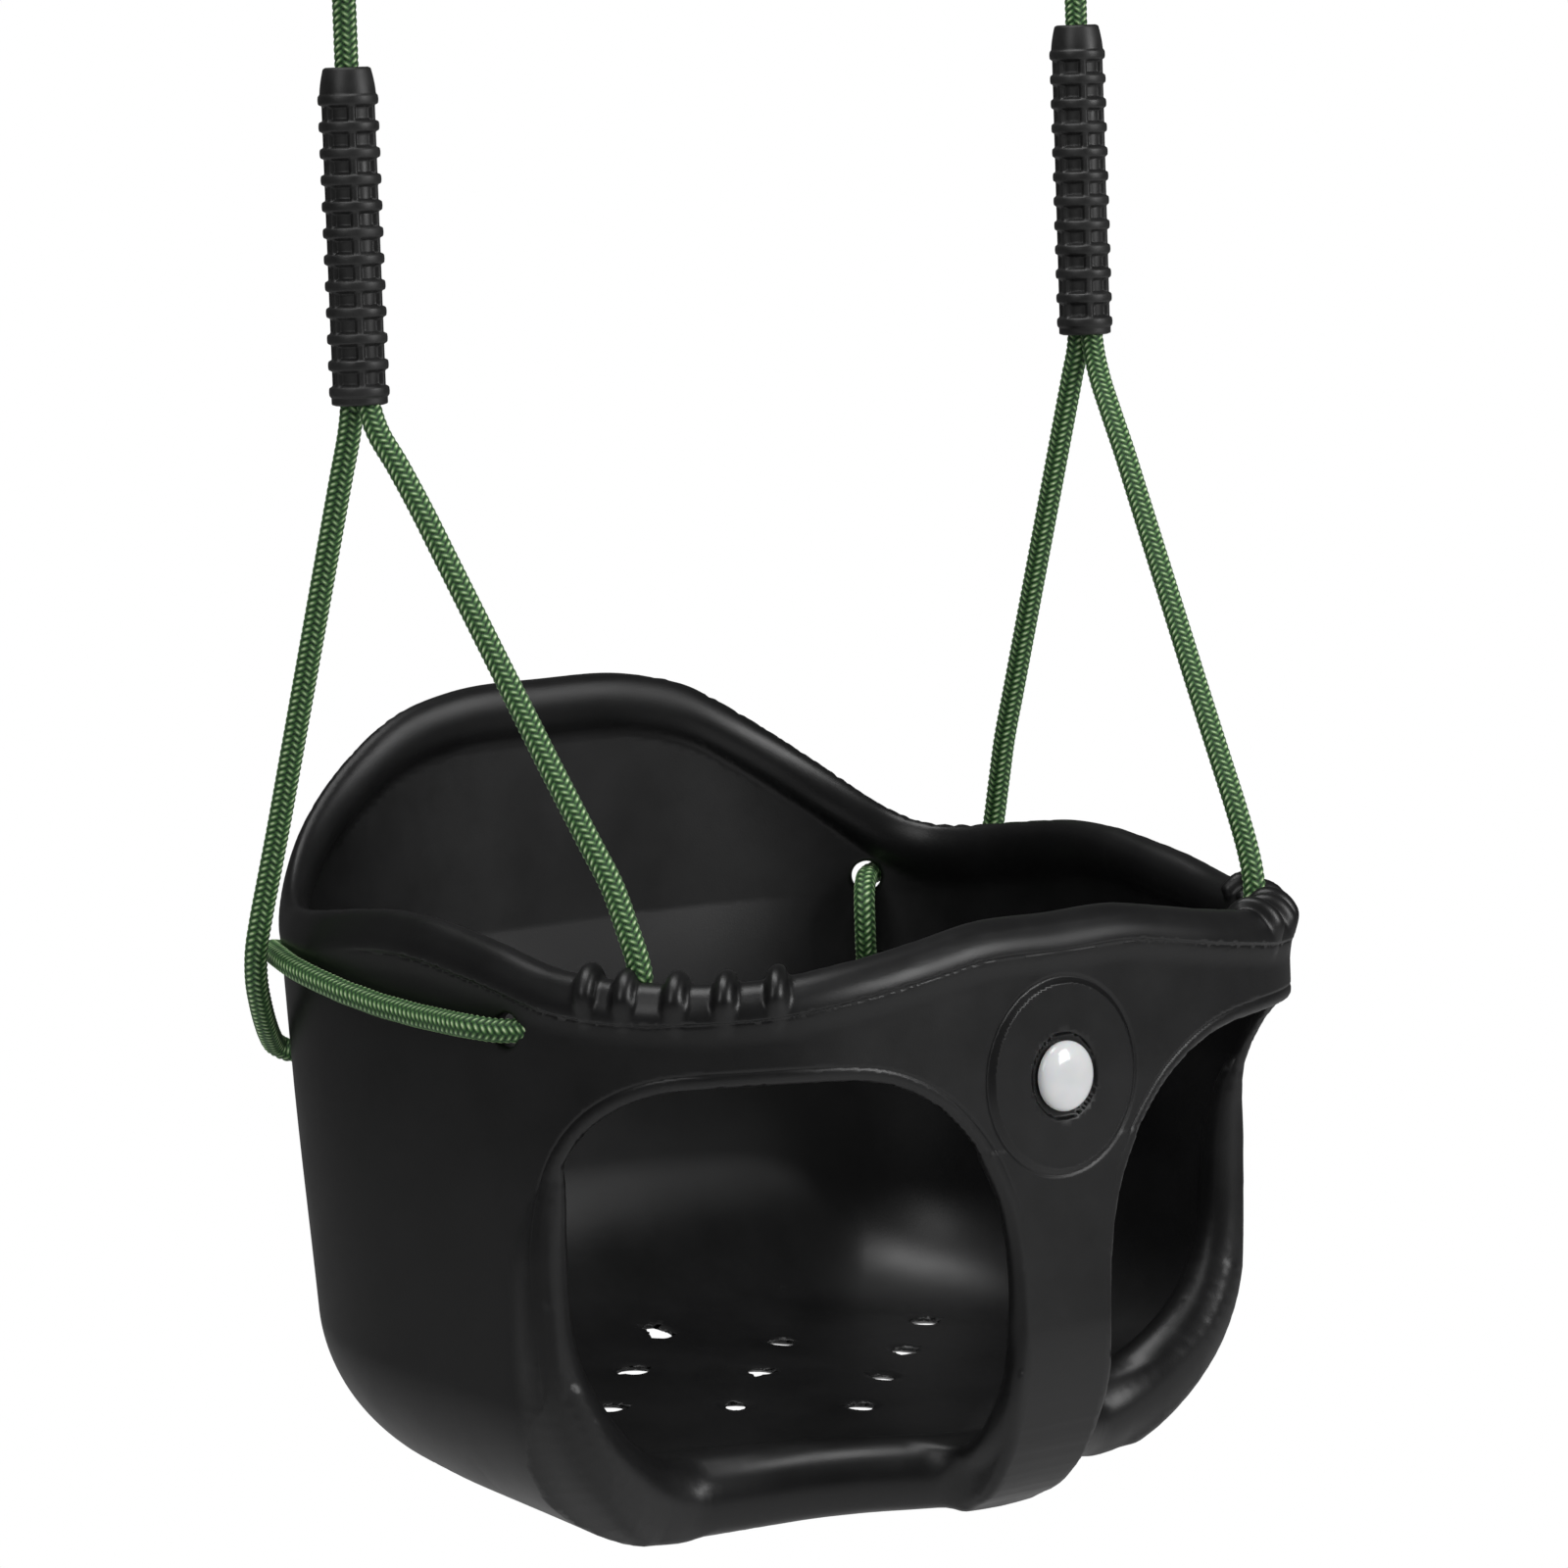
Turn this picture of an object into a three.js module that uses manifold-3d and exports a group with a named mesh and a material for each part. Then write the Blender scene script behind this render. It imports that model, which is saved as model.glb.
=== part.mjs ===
// Toddler bucket swing: a moulded bucket seat on two green ropes, with hand grips and quick links.
// Millimetres, +Z up. The seat faces -Y and is symmetric about X = 0. The row origin is the middle of
// the line on which the two quick links hang from the frame's eyes.
import * as THREE from 'three';
import { mergeVertices } from 'three/addons/utils/BufferGeometryUtils.js';
import Module from 'manifold-3d';

const wasm = await Module();
wasm.setup();

// ---------------------------------------------------------------- driving dimensions, mm
const ROPE_R = 3.75;

// Seat. Y = 0 is below the hang line; Z = 0 is the datum that all heights here are measured from.
const SEAT_HALF_WIDTH = 158;
const SEAT_FRONT_Y = -151;
const SEAT_BACK_Y = 121.5;
const BACK_LEAN = 0.1; // how far the back moves forward per millimetre down
const LEAN_TOP = 165;
const PLAN_POWER = 3.4; // superellipse exponent of the plan
const WALL = 5;
const FLOOR_WALL = 6;
const FLOOR_MIDDLE = 11.2; // underside of the floor at X = Y = 0
const FLOOR_SLOPE = 0.102; // rise towards the back
const FLOOR_CROWN = 3.2; // how much higher the floor is along its middle than near its sides
const GUTTER_DEEP = 13; // further drop before the floor turns up into the side walls
const GUTTER_TAPER = 0.07; // how much shallower the gutter gets per millimetre towards the back
const BEAD_R = 7; // rolled edge of the rim
const BEAD_TALL = 9;
// Rim height against distance walked round the wall from the front centre.
const RIM_HEIGHTS = [
  [0, 188], [34, 188], [54, 185], [73, 182], [92, 179.5], [108, 177.5], [130, 176.5], [150, 177],
  [172, 178.5], [192, 181], [214, 186.5], [232, 190], [250, 193], [275, 194.5], [305, 192], [330, 190],
  [348, 191], [362, 197], [380, 209.5], [398, 222], [417, 234], [437, 244.5], [464, 251], [505, 252.5],
];

// Leg openings. The upper part is measured along the seat wall (u, from the front centre) and up (z).
const LEG_U = [22, 198];
const LEG_Z = [40, 143];
const LEG_RADII = { innerTop: 80, outerTop: 48, bottom: 12 };
const LIP_R = 5.5;
// The lower part is cut straight down in front of this line, right side, from the post to the side wall.
const FLOOR_FRONT = [
  [18, -180], [18, -98], [36, -80], [60, -66], [88, -59], [108, -62], [124, -66], [176, -70], [176, -180],
];
const FLOOR_CUT_TOP = 72;
// The rolled front edge: middle of the roll and its radius, from the side wall to the front centre.
const FRONT_ROLL = [
  [151.5, -77, 118, 1.5], [150.8, -71.5, 106, 4.8], [150, -67.5, 84, 6], [149.3, -66.5, 64, 6.8],
  [146.6, -66.5, 48, 8], [142, -66.5, 35, 9.6], [135, -65.5, 23.5, 11], [126, -63, 13.5, 12], [114, -59.5, 4.5, 12.6],
  [101, -57, -1.5, 13], [88, -57, -4, 13], [75, -61.5, -3.6, 13], [62, -68, -2.6, 12.8],
  [49, -76, -1.4, 12.6], [35, -87, -0.4, 12.4], [22, -98, 0, 12.2], [9, -106, 0, 12], [0, -108, 0, 12],
];
// The post between the legs: outer face, inner face and half width, from the band down to the roll.
const POST = [
  [112, -150.9, -144, 30], [98, -150.8, -144, 25], [84, -150.6, -143.8, 22.6], [70, -150.3, -143.3, 21.9],
  [56, -149.6, -142.2, 21.3], [42, -148.5, -140, 20.9], [29, -146.3, -136, 20.6],
  [17, -142.6, -130.5, 20], [7, -136.6, -123, 19], [-1, -128.5, -115, 18], [-7, -118, -108, 17],
];

// Rope holes, each side: along the wall (u) and height.
const HOLE_R = 5.4;
const FRONT_HOLE = [209, 160.2];
const REAR_UPPER_HOLE = [369, 171];
const REAR_LOWER_HOLE = [367, 137.3];
const RIM_RIBS_U = [175, 161, 144, 128, 111];
const RIB_R = 4;

// Drain holes, a staggered grid.
const DRAIN_R = 3;
const DRAIN_STEP = [33.4, 27];
const DRAIN_FRONT_Y = -45.5;

// Front boss and button.
const BOSS_Z = 135;
const BOSS_R = 34;
const BOSS_PROUD = 1.5;
const BUTTON_RECESS_R = 14;
const BUTTON_R = 11.6;
const BUTTON_DOME = 5.5;
const BUTTON_SHANK_R = 4;

// Grips.
const GRIP_X = 160.4;
const GRIP_BOTTOM = { left: 360, right: 367 };
const GRIP_LENGTH = 109;
const GRIP_RING_R = 9.8;
const GRIP_CORE_R = 9;
const GRIP_MOUTH_R = 6.9;
const GRIP_RINGS = 12;

// Rope ends, the pivot under the grips, and the line that the swing turns on.
const HANG_Y = 1.2;
const STRAND_Y = 3.8; // the two strands side by side under a grip
const LOWER_START_Z = 352;
const UPPER_END_Z = 361;
const FERRULE_Z = [494, 516];
const TAIL_Y = 7.9; // the crimped tail lies this far in front of the rope
const BIGHT_Z = 534;
const BIGHT_R = 8.65;

// Quick links.
const LINK_WIRE_R = 4;
const LINK_HEIGHT = 74;
const LINK_WIDTH = 35;
const NUT_LENGTH = 25.5;
const NUT_FLATS = 13.5;
const NUT_BORE_R = 4.9;
const NUT_TOP = 19.1; // above the link's middle, when closed
const COLLAR_R = 5.6;
const COLLAR_THICK = 1.6;

const GAP = 0.3;
const HANG_Z = BIGHT_Z - LINK_WIRE_R + LINK_HEIGHT - 2 * LINK_WIRE_R; // where the frame's eyes bear

// ---------------------------------------------------------------- materials
const moulded = { color: 0x1b1b1c, roughness: 0.45, metalness: 0 };
const MATERIALS = {
  seat: moulded,
  grip: { color: 0x161617, roughness: 0.5, metalness: 0 },
  rope: { color: 0x3f7a3a, roughness: 0.75, metalness: 0 },
  button: { color: 0xf2f2f2, roughness: 0.12, metalness: 0 },
  link: { color: 0x060606, roughness: 0.12, metalness: 0.3 },
  ferrule: { color: 0x1a1a1a, roughness: 0.4, metalness: 0.6 },
};

// ---------------------------------------------------------------- small helpers
const swing = new THREE.Group();
swing.position.set(0, -HANG_Y, -HANG_Z);

function add(name, material, geometry) {
  const mesh = new THREE.Mesh(geometry, new THREE.MeshStandardMaterial(MATERIALS[material]));
  mesh.name = name;
  swing.add(mesh);
  return mesh;
}

function smooth(low, high, value) {
  const t = Math.min(1, Math.max(0, (value - low) / (high - low)));
  return t * t * (3 - 2 * t);
}

function toSolid(geometry) {
  const plain = geometry.clone();
  plain.deleteAttribute('normal');
  plain.deleteAttribute('uv');
  const merged = mergeVertices(plain, 1e-4);
  return new wasm.Manifold(new wasm.Mesh({
    numProp: 3,
    vertProperties: new Float32Array(merged.attributes.position.array),
    triVerts: new Uint32Array(merged.index.array),
  }));
}

function toGeometry(solid) {
  const mesh = solid.getMesh();
  const geometry = new THREE.BufferGeometry();
  geometry.setAttribute('position', new THREE.BufferAttribute(new Float32Array(mesh.vertProperties), 3));
  geometry.setIndex(new THREE.BufferAttribute(new Uint32Array(mesh.triVerts), 1));
  return geometry;
}

// A closed skin over rings of points; a ring of one point is a pole, and closed joins the last to the first.
function skin(rings, closed = false) {
  const points = [];
  const starts = rings.map((ring) => {
    const start = points.length / 3;
    ring.forEach((p) => points.push(p.x, p.y, p.z));
    return start;
  });
  const index = [];
  const count = closed ? rings.length : rings.length - 1;
  for (let r = 0; r < count; r += 1) {
    const next = (r + 1) % rings.length;
    const size = Math.max(rings[r].length, rings[next].length);
    for (let i = 0; i < size; i += 1) {
      const j = (i + 1) % size;
      const a = starts[r] + (rings[r].length === 1 ? 0 : i);
      const b = starts[r] + (rings[r].length === 1 ? 0 : j);
      const c = starts[next] + (rings[next].length === 1 ? 0 : i);
      const d = starts[next] + (rings[next].length === 1 ? 0 : j);
      if (a !== b) index.push(a, b, d);
      if (c !== d) index.push(a, d, c);
    }
  }
  const geometry = new THREE.BufferGeometry();
  geometry.setAttribute('position', new THREE.BufferAttribute(new Float32Array(points), 3));
  geometry.setIndex(index);
  return geometry;
}

// Turns a skin the right way out.
function outward(geometry) {
  const p = geometry.attributes.position;
  const index = geometry.index.array;
  let volume = 0;
  const a = new THREE.Vector3();
  const b = new THREE.Vector3();
  const c = new THREE.Vector3();
  for (let i = 0; i < index.length; i += 3) {
    a.fromBufferAttribute(p, index[i]);
    b.fromBufferAttribute(p, index[i + 1]);
    c.fromBufferAttribute(p, index[i + 2]);
    volume += a.dot(b.cross(c));
  }
  if (volume < 0) {
    const flipped = Array.from(index);
    for (let i = 0; i < flipped.length; i += 3) {
      [flipped[i + 1], flipped[i + 2]] = [flipped[i + 2], flipped[i + 1]];
    }
    geometry.setIndex(flipped);
  }
  return geometry;
}

function cylinderBetween(from, to, radius, sides) {
  const length = from.distanceTo(to);
  const geometry = new THREE.CylinderGeometry(radius, radius, length, sides);
  const turn = new THREE.Quaternion().setFromUnitVectors(
    new THREE.Vector3(0, 1, 0),
    to.clone().sub(from).normalize(),
  );
  geometry.applyQuaternion(turn);
  const middle = from.clone().add(to).multiplyScalar(0.5);
  geometry.translate(middle.x, middle.y, middle.z);
  return geometry;
}

function tube(points, radius, sides, steps) {
  const section = new THREE.Shape();
  for (let i = 0; i < sides; i += 1) {
    const angle = (i / sides) * 2 * Math.PI;
    const x = radius * Math.cos(angle);
    const y = radius * Math.sin(angle);
    if (i === 0) section.moveTo(x, y);
    else section.lineTo(x, y);
  }
  section.closePath();
  const path = new THREE.CatmullRomCurve3(points, false, 'centripetal');
  return new THREE.ExtrudeGeometry(section, { steps, bevelEnabled: false, extrudePath: path });
}

const vec = (x, y, z) => new THREE.Vector3(x, y, z);

// ---------------------------------------------------------------- seat plan
// t runs from -90 degrees at the front centre, through 0 at the right side, to 90 at the back centre.
function planPoint(t, inset, z) {
  const back = SEAT_BACK_Y - BACK_LEAN * (LEAN_TOP - Math.min(z, LEAN_TOP));
  const halfDepth = (back - SEAT_FRONT_Y) / 2;
  const centre = (back + SEAT_FRONT_Y) / 2;
  const c = Math.cos(t);
  const s = Math.sin(t);
  const x = Math.sign(c) * Math.abs(c) ** (2 / PLAN_POWER) * (SEAT_HALF_WIDTH - inset);
  const y = centre + Math.sign(s) * Math.abs(s) ** (2 / PLAN_POWER) * (halfDepth - inset);
  return vec(x, y, z);
}

// The wall walked at constant height: distance from the front centre, to the plan angle.
const WALK_STEPS = 2000;
const walk = [0];
for (let i = 1; i <= WALK_STEPS; i += 1) {
  const a = planPoint(-Math.PI / 2 + (Math.PI * (i - 1)) / WALK_STEPS, 0, LEAN_TOP);
  const b = planPoint(-Math.PI / 2 + (Math.PI * i) / WALK_STEPS, 0, LEAN_TOP);
  walk.push(walk[i - 1] + a.distanceTo(b));
}

function angleAt(u) {
  const target = Math.abs(u);
  let i = 1;
  while (i < WALK_STEPS && walk[i] < target) i += 1;
  const part = (target - walk[i - 1]) / (walk[i] - walk[i - 1]);
  return -Math.PI / 2 + (Math.PI * (i - 1 + part)) / WALK_STEPS;
}

// A point at (u, z) on the wall's outer skin, moved inwards by depth along the skin's normal.
function wallPoint(u, z, depth) {
  const t = angleAt(u);
  const here = planPoint(t, 0, z);
  const ahead = planPoint(angleAt(Math.abs(u) + 1), 0, z);
  const along = ahead.sub(here).normalize();
  const inward = vec(-along.y, along.x, 0);
  here.addScaledVector(inward, depth);
  if (u < 0) here.x = -here.x;
  return here;
}

// Distance walked round the wall to a plan angle.
function walkedTo(t) {
  const place = ((Math.asin(Math.sin(t)) + Math.PI / 2) / Math.PI) * WALK_STEPS;
  const i = Math.min(WALK_STEPS - 1, Math.floor(place));
  return walk[i] + (walk[i + 1] - walk[i]) * (place - i);
}

// Rim height at a plan angle, eased between the stated heights.
function rimHeight(t) {
  const u = walkedTo(t);
  const last = RIM_HEIGHTS.length - 1;
  let i = 0;
  while (i < last - 1 && RIM_HEIGHTS[i + 1][0] < u) i += 1;
  const [u0, h0] = RIM_HEIGHTS[Math.max(0, i - 1)];
  const [u1, h1] = RIM_HEIGHTS[i];
  const [u2, h2] = RIM_HEIGHTS[i + 1];
  const [u3, h3] = RIM_HEIGHTS[Math.min(last, i + 2)];
  const w = (u - u1) / (u2 - u1);
  const m1 = i === 0 ? 0 : ((h2 - h0) / (u2 - u0)) * (u2 - u1);
  const m2 = i === last - 1 ? 0 : ((h3 - h1) / (u3 - u1)) * (u2 - u1);
  const w2 = w * w;
  const w3 = w2 * w;
  return (2 * w3 - 3 * w2 + 1) * h1 + (w3 - 2 * w2 + w) * m1 + (3 * w2 - 2 * w3) * h2 + (w3 - w2) * m2;
}

function floorLevel(x, y) {
  return FLOOR_MIDDLE + FLOOR_SLOPE * Math.max(-90, y) - FLOOR_CROWN * smooth(0, 90, Math.abs(x));
}

// Height of the underside, with its deeper strip beside each side wall.
function floorUnder(x, y) {
  const start = Math.min(98, Math.max(70, 84 + 0.25 * y));
  return floorLevel(x, y) - (GUTTER_DEEP - GUTTER_TAPER * y) * smooth(start, start + 24, Math.abs(x));
}

// Height of the inner surface where lift is the floor's thickness, and of the underside where it is 0.
function floorAt(x, y, lift) {
  return lift > 0 ? floorLevel(x, y) + lift : floorUnder(x, y);
}

// Radius of the turn from floor to wall: widest at the front of the side walls and at the back.
function filletRadius(t) {
  const y = planPoint(t, 0, LEAN_TOP).y;
  return 52 - 8 * smooth(-70, 60, y) + 13 * smooth(0.75, 1, Math.sin(t));
}

// ---------------------------------------------------------------- seat shell
const AROUND = 52;

function seatRings() {
  const wholeWalk = walk[WALK_STEPS];
  const angles = Array.from({ length: AROUND }, (_, i) => {
    const u = (2 * wholeWalk * i) / AROUND;
    return u <= wholeWalk ? angleAt(u) : Math.PI - angleAt(2 * wholeWalk - u);
  });
  const rings = [];
  const pushRing = (make) => rings.push(angles.map(make));
  const onFloor = (scale, lift, inset) => (t) => {
    const centreY = (SEAT_BACK_Y + SEAT_FRONT_Y) / 2;
    const edge = planPoint(t, inset + filletRadius(t), 0);
    const y = centreY + (edge.y - centreY) * scale;
    return vec(edge.x * scale, y, floorAt(edge.x * scale, y, lift));
  };
  const onFillet = (turn, lift, inset) => (t) => {
    const radius = filletRadius(t);
    const side = inset + radius * (1 - Math.cos(turn));
    const edge = planPoint(t, side, 0);
    const foot = planPoint(t, inset + radius, 0);
    const base = floorAt(foot.x, foot.y, lift);
    const z = base + radius * (1 - Math.sin(turn));
    return planPoint(t, side, z);
  };
  const onWall = (share, inset, lift) => (t) => {
    const foot = planPoint(t, inset + filletRadius(t), 0);
    const low = floorAt(foot.x, foot.y, lift) + filletRadius(t);
    const high = rimHeight(t) - 2 * BEAD_TALL;
    return planPoint(t, inset, low + (high - low) * share);
  };
  const onBead = (angle) => (t) => {
    const z = rimHeight(t) - BEAD_TALL + BEAD_TALL * Math.sin(angle);
    return planPoint(t, BEAD_R - BEAD_R * Math.cos(angle), z);
  };
  const fillet = [75, 50, 25].map((d) => (d * Math.PI) / 180);
  const walls = [0, 0.35, 0.7, 1];

  rings.push([vec(0, (SEAT_BACK_Y + SEAT_FRONT_Y) / 2, floorUnder(0, -15))]);
  [0.5, 1].forEach((scale) => pushRing(onFloor(scale, 0, 0)));
  fillet.forEach((turn) => pushRing(onFillet(turn, 0, 0)));
  walls.forEach((share) => pushRing(onWall(share, 0, 0)));
  [0, 35, 65, 90, 115, 145, 180].forEach((d) => pushRing(onBead((d * Math.PI) / 180)));
  pushRing((t) => planPoint(t, WALL + 3.5, rimHeight(t) - BEAD_TALL - 5.5));
  [...walls].reverse().forEach((share) => pushRing(onWall(share, WALL, FLOOR_WALL)));
  [...fillet].reverse().forEach((turn) => pushRing(onFillet(turn, FLOOR_WALL, WALL)));
  [1, 0.5].forEach((scale) => pushRing(onFloor(scale, FLOOR_WALL, WALL)));
  rings.push([vec(0, (SEAT_BACK_Y + SEAT_FRONT_Y) / 2, floorUnder(0, -15) + FLOOR_WALL)]);
  return rings;
}

// Outline of the upper part of a leg opening in (u, z), from low on the post, over the top, and down
// the side wall; closed across the bottom for cutting.
function legOutline(points, low, closed) {
  const [u0, u1] = LEG_U;
  const top = LEG_Z[1];
  const { innerTop, outerTop, bottom } = LEG_RADII;
  const shape = new THREE.Path();
  shape.moveTo(u0, low + bottom);
  shape.lineTo(u0, top - innerTop);
  shape.absarc(u0 + innerTop, top - innerTop, innerTop, Math.PI, Math.PI / 2, true);
  shape.lineTo(u1 - outerTop, top);
  shape.absarc(u1 - outerTop, top - outerTop, outerTop, Math.PI / 2, 0, true);
  shape.lineTo(u1, low + bottom);
  if (closed) {
    shape.absarc(u1 - bottom, low + bottom, bottom, 0, -Math.PI / 2, true);
    shape.lineTo(u0 + bottom, low);
    shape.absarc(u0 + bottom, low + bottom, bottom, -Math.PI / 2, -Math.PI, true);
  }
  return shape.getSpacedPoints(points).slice(0, closed ? points : points + 1);
}

// The solid that cuts the upper part: the outline carried from outside the wall to inside it.
function legCutter(side) {
  const outline = legOutline(44, LEG_Z[0], true);
  const middle = new THREE.Vector2((LEG_U[0] + LEG_U[1]) / 2, (LEG_Z[0] + LEG_Z[1]) / 2);
  const cap = (depth, scales) => scales.map((scale) => outline.map((p) => {
    const u = middle.x + (p.x - middle.x) * scale;
    const z = middle.y + (p.y - middle.y) * scale;
    return wallPoint(side * u, z, depth);
  }));
  const rings = [
    [wallPoint(side * middle.x, middle.y, -12)],
    ...cap(-12, [0.5, 1]),
    ...cap(34, [1, 0.5]),
    [wallPoint(side * middle.x, middle.y, 34)],
  ];
  return outward(skin(rings));
}

// The rounded lip of the upper part of a leg opening.
function legLip(side) {
  const outline = legOutline(28, 40, false);
  const rings = outline.map((p, i) => {
    const before = outline[Math.max(0, i - 1)];
    const after = outline[Math.min(outline.length - 1, i + 1)];
    const along = after.clone().sub(before).normalize();
    const away = new THREE.Vector2(-along.y, along.x);
    const fromEnd = Math.min(i, outline.length - 1 - i);
    const r = LIP_R * Math.min(1, 0.3 + 0.35 * fromEnd);
    return Array.from({ length: 8 }, (_, k) => {
      const angle = (k / 8) * 2 * Math.PI;
      const q = p.clone().addScaledVector(away, LIP_R + r * Math.cos(angle));
      return wallPoint(side * q.x, q.y, LIP_R + r * Math.sin(angle));
    });
  });
  return capped(rings);
}

// A closed tube over rings, with a flat fan at each end.
function capped(rings) {
  const middleOf = (ring) => ring.reduce((sum, p) => sum.add(p), vec(0, 0, 0)).divideScalar(ring.length);
  return outward(skin([[middleOf(rings[0])], ...rings, [middleOf(rings.at(-1))]]));
}

// Everything of the seat in front of the floor's front line, low down on one side of the post.
function floorCutter(side) {
  const shape = new THREE.Shape(FLOOR_FRONT.map(([x, y]) => new THREE.Vector2(side * x, y)));
  const prism = new THREE.ExtrudeGeometry(shape, { depth: FLOOR_CUT_TOP + 60, bevelEnabled: false });
  prism.translate(0, 0, -60);
  return prism;
}

// The rolled front edge, from one side wall across under the post to the other.
function frontRoll() {
  const half = FRONT_ROLL.map(([x, y, z, r]) => ({ middle: vec(x, y, z), r }));
  const other = half.slice(0, -1).reverse();
  const mirrored = other.map(({ middle, r }) => ({ middle: vec(-middle.x, middle.y, middle.z), r }));
  const whole = [...half, ...mirrored];
  const rings = whole.map(({ middle, r }, i) => {
    const before = whole[Math.max(0, i - 1)].middle;
    const after = whole[Math.min(whole.length - 1, i + 1)].middle;
    const along = after.clone().sub(before).normalize();
    const across = along.clone().cross(vec(0, -1, 0.2)).normalize();
    const over = across.clone().cross(along);
    return Array.from({ length: 10 }, (_, k) => {
      const angle = (k / 10) * 2 * Math.PI;
      return middle.clone()
        .addScaledVector(across, r * Math.cos(angle))
        .addScaledVector(over, r * Math.sin(angle));
    });
  });
  return capped(rings);
}

// The post, a flat bar with rounded edges that sweeps back under the seat into the roll.
function post() {
  const rings = POST.map(([z, front, back, half]) => {
    const edge = Math.min(3, (back - front) / 3);
    return [
      vec(-half, front + edge, z), vec(-half + edge, front, z), vec(half - edge, front, z),
      vec(half, front + edge, z), vec(half, back - edge, z), vec(half - edge, back, z),
      vec(-half + edge, back, z), vec(-half, back - edge, z),
    ];
  });
  return capped(rings);
}

// A ridge over the rim's rolled edge, one of five that stop a rope from sliding.
function rimRib(u) {
  const rim = rimHeight(angleAt(u));
  const path = [-35, 5, 45, 90, 130].map((d) => (d * Math.PI) / 180);
  const reach = 0.9;
  const rings = path.map((angle) => {
    const depth = BEAD_R - (BEAD_R + reach) * Math.cos(angle);
    const height = rim - BEAD_TALL + (BEAD_TALL + reach) * Math.sin(angle);
    return Array.from({ length: 6 }, (_, k) => {
      const turn = (k / 6) * 2 * Math.PI;
      const out = RIB_R * Math.cos(turn);
      return wallPoint(
        u + Math.sign(u) * RIB_R * Math.sin(turn),
        height + out * Math.sin(angle),
        depth - out * Math.cos(angle),
      );
    });
  });
  return capped(rings);
}

function drainPlaces() {
  const places = [];
  for (let row = 0; row < 5; row += 1) {
    for (let column = -3; column <= 3; column += 1) {
      const reach = row <= 3 ? row : 0;
      if ((row + column) % 2 === 0 && Math.abs(column) <= reach) {
        places.push([column * DRAIN_STEP[0], DRAIN_FRONT_Y + row * DRAIN_STEP[1]]);
      }
    }
  }
  return places;
}

function seatShell() {
  let seat = toSolid(outward(skin(seatRings())));
  [-1, 1].forEach((side) => {
    seat = seat.subtract(toSolid(legCutter(side)));
    seat = seat.subtract(toSolid(floorCutter(side)));
  });
  seat = seat.add(toSolid(frontRoll()));
  seat = seat.add(toSolid(post()));
  [-1, 1].forEach((side) => {
    seat = seat.add(toSolid(legLip(side)));
    RIM_RIBS_U.forEach((u) => {
      seat = seat.add(toSolid(rimRib(side * u)));
    });
  });
  const boss = cylinderBetween(
    vec(0, SEAT_FRONT_Y - BOSS_PROUD, BOSS_Z),
    vec(0, SEAT_FRONT_Y + WALL, BOSS_Z),
    BOSS_R,
    40,
  );
  seat = seat.add(toSolid(boss));
  const recess = cylinderBetween(
    vec(0, SEAT_FRONT_Y - 6, BOSS_Z),
    vec(0, SEAT_FRONT_Y - BOSS_PROUD + 1.5, BOSS_Z),
    BUTTON_RECESS_R,
    28,
  );
  seat = seat.subtract(toSolid(recess));
  const shankHole = cylinderBetween(
    vec(0, SEAT_FRONT_Y - 6, BOSS_Z),
    vec(0, SEAT_FRONT_Y + 30, BOSS_Z),
    BUTTON_SHANK_R + GAP,
    16,
  );
  seat = seat.subtract(toSolid(shankHole));
  [-1, 1].forEach((side) => {
    [FRONT_HOLE, REAR_UPPER_HOLE, REAR_LOWER_HOLE].forEach(([u, z]) => {
      const drill = cylinderBetween(wallPoint(side * u, z, -8), wallPoint(side * u, z, 16), HOLE_R, 12);
      seat = seat.subtract(toSolid(drill));
    });
  });
  [-1, 1].forEach((side) => {
    const clearance = tube(route(LOWER_ROUTE, side, 0, 0), ROPE_R + GAP + 0.1, 8, 80);
    seat = seat.subtract(toSolid(clearance));
  });
  drainPlaces().forEach(([x, y]) => {
    const drill = cylinderBetween(vec(x, y, -10), vec(x, y, 60), DRAIN_R, 8);
    seat = seat.subtract(toSolid(drill));
  });
  return toGeometry(seat);
}

// ---------------------------------------------------------------- button and retainer
function lathe(outline, segments) {
  const points = outline.map(([r, h]) => new THREE.Vector2(r, h));
  return new THREE.LatheGeometry(points, segments);
}

function frontButton() {
  const seatFace = 0; // the recess floor; the dome stands up from it along +Y of the lathe
  const shankEnd = -(WALL + 6);
  const geometry = lathe([
    [0, shankEnd], [BUTTON_SHANK_R - 0.6, shankEnd], [BUTTON_SHANK_R, shankEnd + 0.8],
    [BUTTON_SHANK_R, seatFace + GAP], [BUTTON_R - 0.3, seatFace + GAP], [BUTTON_R, seatFace + 1.2],
    [BUTTON_R * 0.93, BUTTON_DOME * 0.62], [BUTTON_R * 0.72, BUTTON_DOME * 0.88],
    [BUTTON_R * 0.4, BUTTON_DOME * 0.99], [0, BUTTON_DOME],
  ], 28);
  geometry.rotateX(Math.PI);
  return geometry;
}

function buttonRetainer() {
  const inner = BUTTON_SHANK_R + GAP;
  return lathe([[inner, 0], [10, 0], [10, 1.2], [7, 2.8], [inner, 2.8], [inner, 0]], 24);
}

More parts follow.
